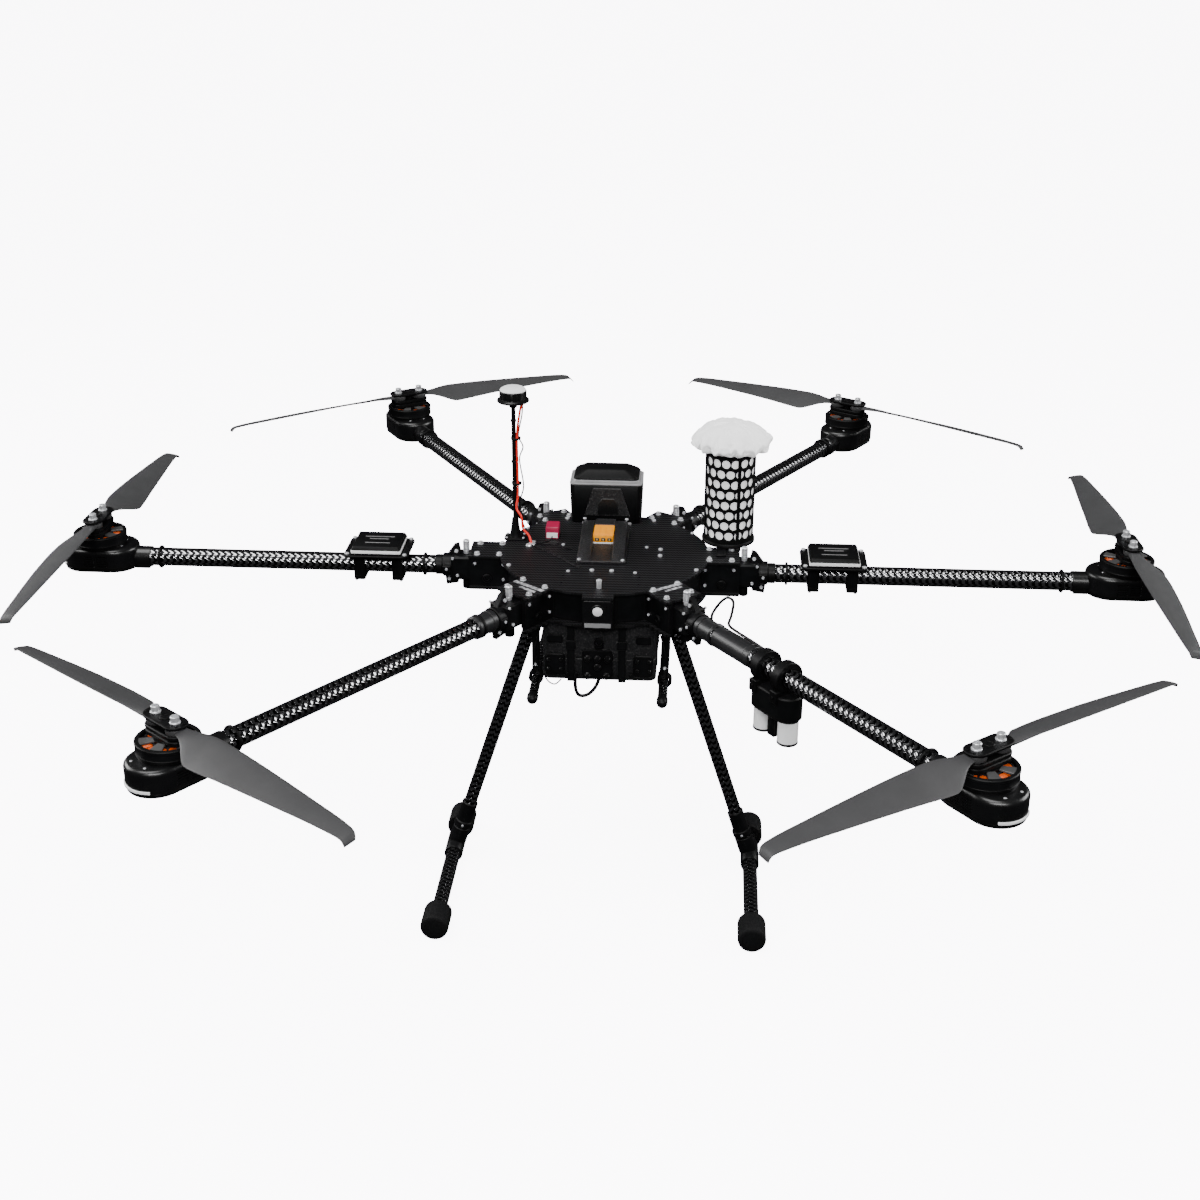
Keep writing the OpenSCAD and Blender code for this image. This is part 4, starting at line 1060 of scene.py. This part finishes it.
def crumple(obj, hold_below, frames_run=16, most=0.004):
    """Cloth simulation of the free part: the sheet grows and wrinkles, and moves no further than most."""
    scene = bpy.context.scene
    sim = obj.copy()
    sim.data = obj.data.copy()
    scene.collection.objects.link(sim)
    held = sim.vertex_groups.new(name="held")
    held.add([v.index for v in sim.data.vertices if v.co.z < hold_below], 1.0, "REPLACE")
    cloth = sim.modifiers.new("Cloth", "CLOTH")
    st = cloth.settings
    st.quality = 4
    st.mass = 0.1
    st.tension_stiffness = 8
    st.bending_stiffness = 0.02
    st.shrink_min = -0.12
    st.use_pressure = True
    st.uniform_pressure_force = 1.2
    st.effector_weights.gravity = 0
    st.vertex_group_mass = "held"
    for i in range(1, frames_run + 1):
        scene.frame_set(i)
    result = sim.evaluated_get(bpy.context.evaluated_depsgraph_get()).data
    rest = [v.co.copy() for v in obj.data.vertices]
    for v, start, moved in zip(obj.data.vertices, rest, result.vertices):
        step = moved.co - start
        if step.length > most:
            step *= most / step.length
        v.co = start + step
    obj.data.update()
    bpy.data.objects.remove(sim)
    scene.frame_set(1)


def build_canopy():
    """Packed cloth: a pleated sleeve inside the tube, swelling into a crumpled cushion above the rim."""
    n = 160
    rim = CAN_H
    profile = [(31.4, 0.5 - rim), (31.6, 40 - rim), (31.6, 90 - rim), (31.6, -1), (33, 0.8), (39, 1.6)]
    profile += [(45, 3.5), (47.8, 8), (46.5, 14), (42.5, 20.5), (36, 26), (27, 30.5), (15, 33), (0.3, 33.6)]
    pts = [Vector((r, 0, rim + z)) for r, z in profile]
    line = spline(pts, 5)
    rings = []
    for p in line:
        r, z = p.x, p.z
        ring = []
        above = max(0.0, min(1.0, (z - rim) / 8.0))
        crown = max(0.0, min(1.0, (z - rim - 18) / 14.0))
        for i in range(n):
            a = 2 * PI * i / n
            pleat = 0.5 * math.sin(23 * a + 1.5 * math.sin(3 * a)) + 0.3 * math.sin(41 * a + z * 0.12)
            q = Vector((math.cos(a), math.sin(a), z * 0.035))
            lump = noise.noise(q * 2.1 + Vector((0, 0, 3.1))) + 0.5 * noise.noise(q * 5.3)
            dr = pleat * (0.35 + 1.1 * above * (1 - crown)) + above * 3.2 * lump
            x, y = r * math.cos(a), r * math.sin(a)
            swell = 2.4 * noise.noise(Vector((x * 0.06, y * 0.06, 5.0)))
            dz = above * (swell + 1.3 * noise.noise(Vector((x * 0.16, y * 0.16, 9.0))))
            frill = above * (1 - crown) * max(0.0, (r - 36) / 12)
            dr += frill * (1.8 * math.sin(13 * a + 0.8) + 1.5 * math.sin(21 * a + 2 * math.sin(2 * a)))
            dz += frill * (2.6 * math.sin(17 * a + 1.1) + 1.5 * math.sin(29 * a))
            rr = max(0.2, r + (dr if r > 3 else 0))
            if above < 0.05:
                rr = min(rr, 31.9)
            lift = dz if r > 0.5 else dz * 0.2
            ring.append((CAN[0] + rr * math.cos(a), CAN[1] + rr * math.sin(a), CAN_Z + z + lift))
        rings.append(ring)
    verts, faces, _ = loft(rings)
    s = Shape().add((verts, faces, None))
    obj = s.build("parachute canopy", "cloth", ROOT, "canopy_fabric", smooth=70)
    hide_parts("parachute_canopy")
    crumple(obj, hold_below=(CAN_Z + CAN_H + 0.5) * MM)


# ---------------------------------------------------------------- bay and rails
BAY_Z = BELLY_Z - BAY_H


def build_bay():
    front, back_ = BAY_FRONT, BAY_BACK
    levels = [(4, 4, 9, 0), (1, 1, 10, 1), (0, 0, 10, 2.5), (0, 0, 10, 30), (1.6, 1.6, 9.5, 30.8)]
    levels += [(1.6, 1.6, 9.5, 32), (0, 0, 10, 32.8), (0, 0, 10, 82), (-2, -2, 10, 83), (-2, -2, 10, 86.9)]
    skin = []
    for dw, dd, r, z in levels:
        ring = rrect(150 - dw, back_ - front - dd, r, 6)
        skin.append([(p[0], (front + back_) / 2 + p[1], BAY_Z + z) for p in ring])
    s = Shape().add(loft(skin), HUB0)
    obj = s.build("equipment bay", "pebble", ROOT, "black_plastic")
    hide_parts("equipment_bay")
    face = HUB0 @ along_y(0, front, BAY_Z, -1)
    latch = Shape().add(prism(rrect(40, 40, 5, 5), 0, 3.6, 0.8), face @ at(-2, 25))
    latch.add(prism(rrect(12, 16, 3, 4), 0, 3, 0.6), face @ at(0, 54))
    latch.add(ring_solid([(4, 3), (6.5, 3), (6.5, 5.4), (6.1, 5.8), (4, 5.8)], 28), face @ at(0, 57))
    for x in (-58, 58):
        latch.add(prism(rrect(26, 30, 4, 5), 0, 4.6, 1.0), face @ at(x, 24))
        latch.add(prism(rrect(20, 12, 3, 5), 0, 3.2, 0.8), face @ at(x, 60))
    latch.build("bay latch plate", "satin", ROOT, "black_plastic")
    dampers = Shape()
    for x, z in ((-15, 33), (11, 33), (-2, 21), (-15, 8), (10, 8), (-2, 33)):
        dampers.add(lathe([(5, 3.2), (5, 4.4), (4.2, 5.2), (4.4, 6.4), (3.6, 7.6), (1.8, 7.9), (1.6, 7.0),
            (0.1, 7.0)], 28), face @ at(x, z))
    for sx in (-1, 1):
        for x, z in ((50, 17), (50, 31), (66, 17), (66, 31), (42, 10)):
            dampers.add(lathe([(2.6, 3.8), (2.8, 5.2), (2.2, 6.2), (1.2, 6.3), (1.1, 5.6), (0.1, 5.6)], 18),
                face @ at(sx * x, z))
    dampers.build("bay dampers", "gloss", ROOT, "black_plastic")
    straps = Shape()
    for x in (-37, 30):
        straps.add(box(x - 5, x + 5, front - 2.2, front + 0.2, BAY_Z - 1.6, BAY_Z + 84, 0.5), HUB0)
        straps.add(box(x - 5, x + 5, front - 2.2, back_ + 2, BAY_Z - 1.6, BAY_Z + 0.2, 0.5), HUB0)
        straps.add(box(x - 6.5, x + 6.5, front - 4.2, front - 1.8, BAY_Z + 46, BAY_Z + 58, 0.6), HUB0)
    for sx in (-1, 1):
        for y in (-70, 0, 66):
            straps.add(box(sx * 74.5 - 1.4, sx * 74.5 + 1.4, y - 6, y + 6, BAY_Z + 4, BAY_Z + 80, 0.6),
                HUB0)
    straps.build("bay straps", "cable", ROOT, "cable_rubber")


def build_rails():
    tubes, ends, bright = Shape(), Shape(), Shape()
    for sx in (-1, 1):
        turn = HUB0 @ at(sx * RAIL_X, 0, RAIL_Z) @ Matrix.Rotation(PI / 2, 4, "Z")
        tubes.add(tube_skin(6.3, -156, 112, 28), turn)
        ends.add(rod(5.2, 108, 111.6, 0.3, 24), HUB0 @ along_y(sx * RAIL_X, 0, RAIL_Z))
        nose = [(6.4, -9), (7.4, -8.4), (7.4, 0), (6.6, 3.4), (4.4, 6.2), (1.8, 7.3), (0.1, 7.4)]
        ends.add(lathe(nose, 28), HUB0 @ along_y(sx * RAIL_X, -157, RAIL_Z, -1))
        for y in (-90, 80):
            h = HUB0 @ at(sx * HANGER_X, y, 0)
            ends.add(box(-5, 5, -6, 6, 328, BELLY_Z - 0.05, 1.0), h)
            ends.add(box(-7.5, 7.5, -7, 7, BELLY_Z - 5, BELLY_Z - 0.05, 0.8), h)
            ends.add(sleeve(6.35, 10, -6, 6, 0.6, 36), HUB0 @ along_y(sx * HANGER_X, y, RAIL_Z))
            for z in (340, 396):
                bright.add(cap_screw(2.2, 1.8, 14), h @ along_y(0, -5.9, z, -1))
    obj = tubes.build("payload rails", "tube", ROOT, "black_metal")
    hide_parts("payload_rails")
    ends.build("rail hangers and caps", "satin", ROOT, "black_metal")
    bright.build("rail hanger screws", "steel", ROOT, "steel")


# ---------------------------------------------------------------- landing gear
LEG_PIVOT = (89, -40 + HUB.y, 398)
SKID_X, SKID_Z = 211, 19


def build_leg(side):
    sx = -1 if side == "left" else 1
    body = f"leg_{side}_body"
    tilt = math.atan2(SKID_X - LEG_PIVOT[0], LEG_PIVOT[2] - SKID_Z)
    length = math.hypot(SKID_X - LEG_PIVOT[0], LEG_PIVOT[2] - SKID_Z)
    place = at(sx * LEG_PIVOT[0], LEG_PIVOT[1], LEG_PIVOT[2]) @ Matrix.Rotation(-sx * tilt, 4, "Y")
    skid = at(sx * SKID_X, 0, SKID_Z)
    down = place @ Matrix.Rotation(PI / 2, 4, "Y")
    tube = Shape().add(tube_skin(9, 12, length - 11, 36), down)
    tube.add(tube_skin(10, -242 + HUB.y, 42 + HUB.y, 36), skid @ Matrix.Rotation(PI / 2, 4, "Z"))
    obj = tube.build(f"leg tube {side}", "tube", body, "carbon_tube")
    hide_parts(f"leg_{side}")
    s = Shape().add(sleeve(4.1, 11, -12, 12, 0.6, 36), place @ along_y())
    s.add(rod(11, -34, -6, 0.8, 36), place)
    s.add(rod(12.4, -34.5, -29, 0.8, 36), place)
    s.add(rod(11.2, -length + 40, -length + 76, 1.0, 36), place)
    s.add(rod(13.2, -length + 36, -length + 46, 1.2, 36), place)
    s.add(rod(12.5, -length + 9, -length + 34, 1.0, 36), place)
    s.add(ring_solid([(10.05, -26), (12.4, -26), (13, -25.2), (13, 25.2), (12.4, 26), (10.05, 26)], 40),
        skid @ along_y(0, LEG_PIVOT[1], 0))
    s.build(f"leg fittings {side}", "satin", body, "black_metal")
    bright = Shape()
    for z in (-31.5, -length + 41):
        for e in (-1, 1):
            bright.add(cap_screw(1.8, 1.8, 14), place @ along_y(0, e * 12.2, z, e))
    bright.build(f"leg screws {side}", "steel", body, "steel")
    foam = Shape()
    profile = [(0.1, 0), (13, 0), (16.6, 0.5), (18.4, 2.2), (19, 5), (19, 38), (18.7, 40.6), (17.6, 42),
        (10.2, 42)]
    for y, d in ((-250 + HUB.y, 1), (50 + HUB.y, -1)):
        foam.add(lathe(profile, 44), skid @ along_y(0, y, 0, d))
    obj = foam.build(f"foam feet {side}", "foam", body, "foam")
    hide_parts(f"feet_{side}")


build_deck_fasteners()
build_nose()
build_hood()
build_connectors()
build_mast()
build_cables()
build_canister()
build_canopy()
build_bay()
build_rails()
build_leg("left")
build_leg("right")

# ---------------------------------------------------------------- carried-over CAD nodes
CARRIED = {"top_plate": "plate", "bottom_plate": "plate", "hub_frame": "satin", "flight_controller": "grey"}
for node_name, material in CARRIED.items():
    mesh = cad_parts[node_name].data
    mesh.materials.clear()
    mesh.materials.append(MAT[material])

# ---------------------------------------------------------------- stage, light, camera
FLOOR_GLOW = 9.0


def stage_floor():
    mesh = bpy.data.meshes.new("floor")
    n, size = 24, 60.0
    verts = [(size * (i / n - 0.5), size * (j / n - 0.5) + 14,
        0) for j in range(n + 1) for i in range(n + 1)]
    faces = [(j * (n + 1) + i, j * (n + 1) + i + 1, (j + 1) * (n + 1) + i + 1,
        (j + 1) * (n + 1) + i) for j in range(n) for i in range(n)]
    mesh.from_pydata(verts, [], faces)
    obj = bpy.data.objects.new("floor", mesh)
    bpy.context.scene.collection.objects.link(obj)
    m, nt, p = new_material("studio floor")
    _, ramp = mottled(nt, p, 0.4, (0.93, 0.91, 0.945), (0.95, 0.93, 0.965))
    link(nt, ramp, "Color", p, "Emission Color")
    p.inputs["Emission Strength"].default_value = FLOOR_GLOW
    p.inputs["Roughness"].default_value = 1.0
    p.inputs["Specular IOR Level"].default_value = 0.0
    mesh.materials.append(m)
    obj.visible_glossy = False  # the bright floor stays out of the dark parts' reflections
    obj.visible_diffuse = False


stage_floor()
world = bpy.data.worlds.new("studio")
bpy.context.scene.world = world
world.use_nodes = True
world.node_tree.nodes["Background"].inputs["Color"].default_value = (0.95, 0.95, 1, 1)
world.node_tree.nodes["Background"].inputs["Strength"].default_value = 0.04


def lamp(name, kind, energy, loc, target, **sets):
    data = bpy.data.lights.new(name, kind)
    data.energy = energy
    for k, v in sets.items():
        setattr(data, k, v)
    obj = bpy.data.objects.new(name, data)
    bpy.context.scene.collection.objects.link(obj)
    obj.location = loc
    obj.rotation_euler = (Vector(target) - Vector(loc)).to_track_quat("-Z", "Y").to_euler()
    return obj


lamp("sky sun", "SUN", 3.0, (-2, -1.5, 8), (0, 0, 0), angle=math.radians(40))
lamp("front softbox", "AREA", 120, (0.2, -3.1, 2.3), (0, 0, 0.4), shape="RECTANGLE", size=2.6, size_y=0.8)
lamp("left softbox", "AREA", 75, (-2.7, 0.6, 1.6), (0, 0, 0.4), shape="RECTANGLE", size=1.8, size_y=1.2)
lamp("right softbox", "AREA", 75, (2.7, 0.6, 1.6), (0, 0, 0.4), shape="RECTANGLE", size=1.8, size_y=1.2)

AZ, EL, ROLL = math.radians(3.584), math.radians(24.161), math.radians(0.163)
back = Vector((math.sin(AZ) * math.cos(EL), -math.cos(AZ) * math.cos(EL), math.sin(EL)))
right = Vector((0, 0, 1)).cross(back).normalized()
up = back.cross(right)
r2 = right * math.cos(ROLL) + up * math.sin(ROLL)
u2 = -right * math.sin(ROLL) + up * math.cos(ROLL)
cam_data = bpy.data.cameras.new("camera")
cam_data.lens = 51.486
cam_data.sensor_width = 36
cam = bpy.data.objects.new("camera", cam_data)
bpy.context.scene.collection.objects.link(cam)
m4 = Matrix((r2, u2, back)).transposed().to_4x4()
m4.translation = Vector((0.1275, -2.1365 + HUB.y * MM, 1.3533))
cam.matrix_world = m4
bpy.context.scene.camera = cam
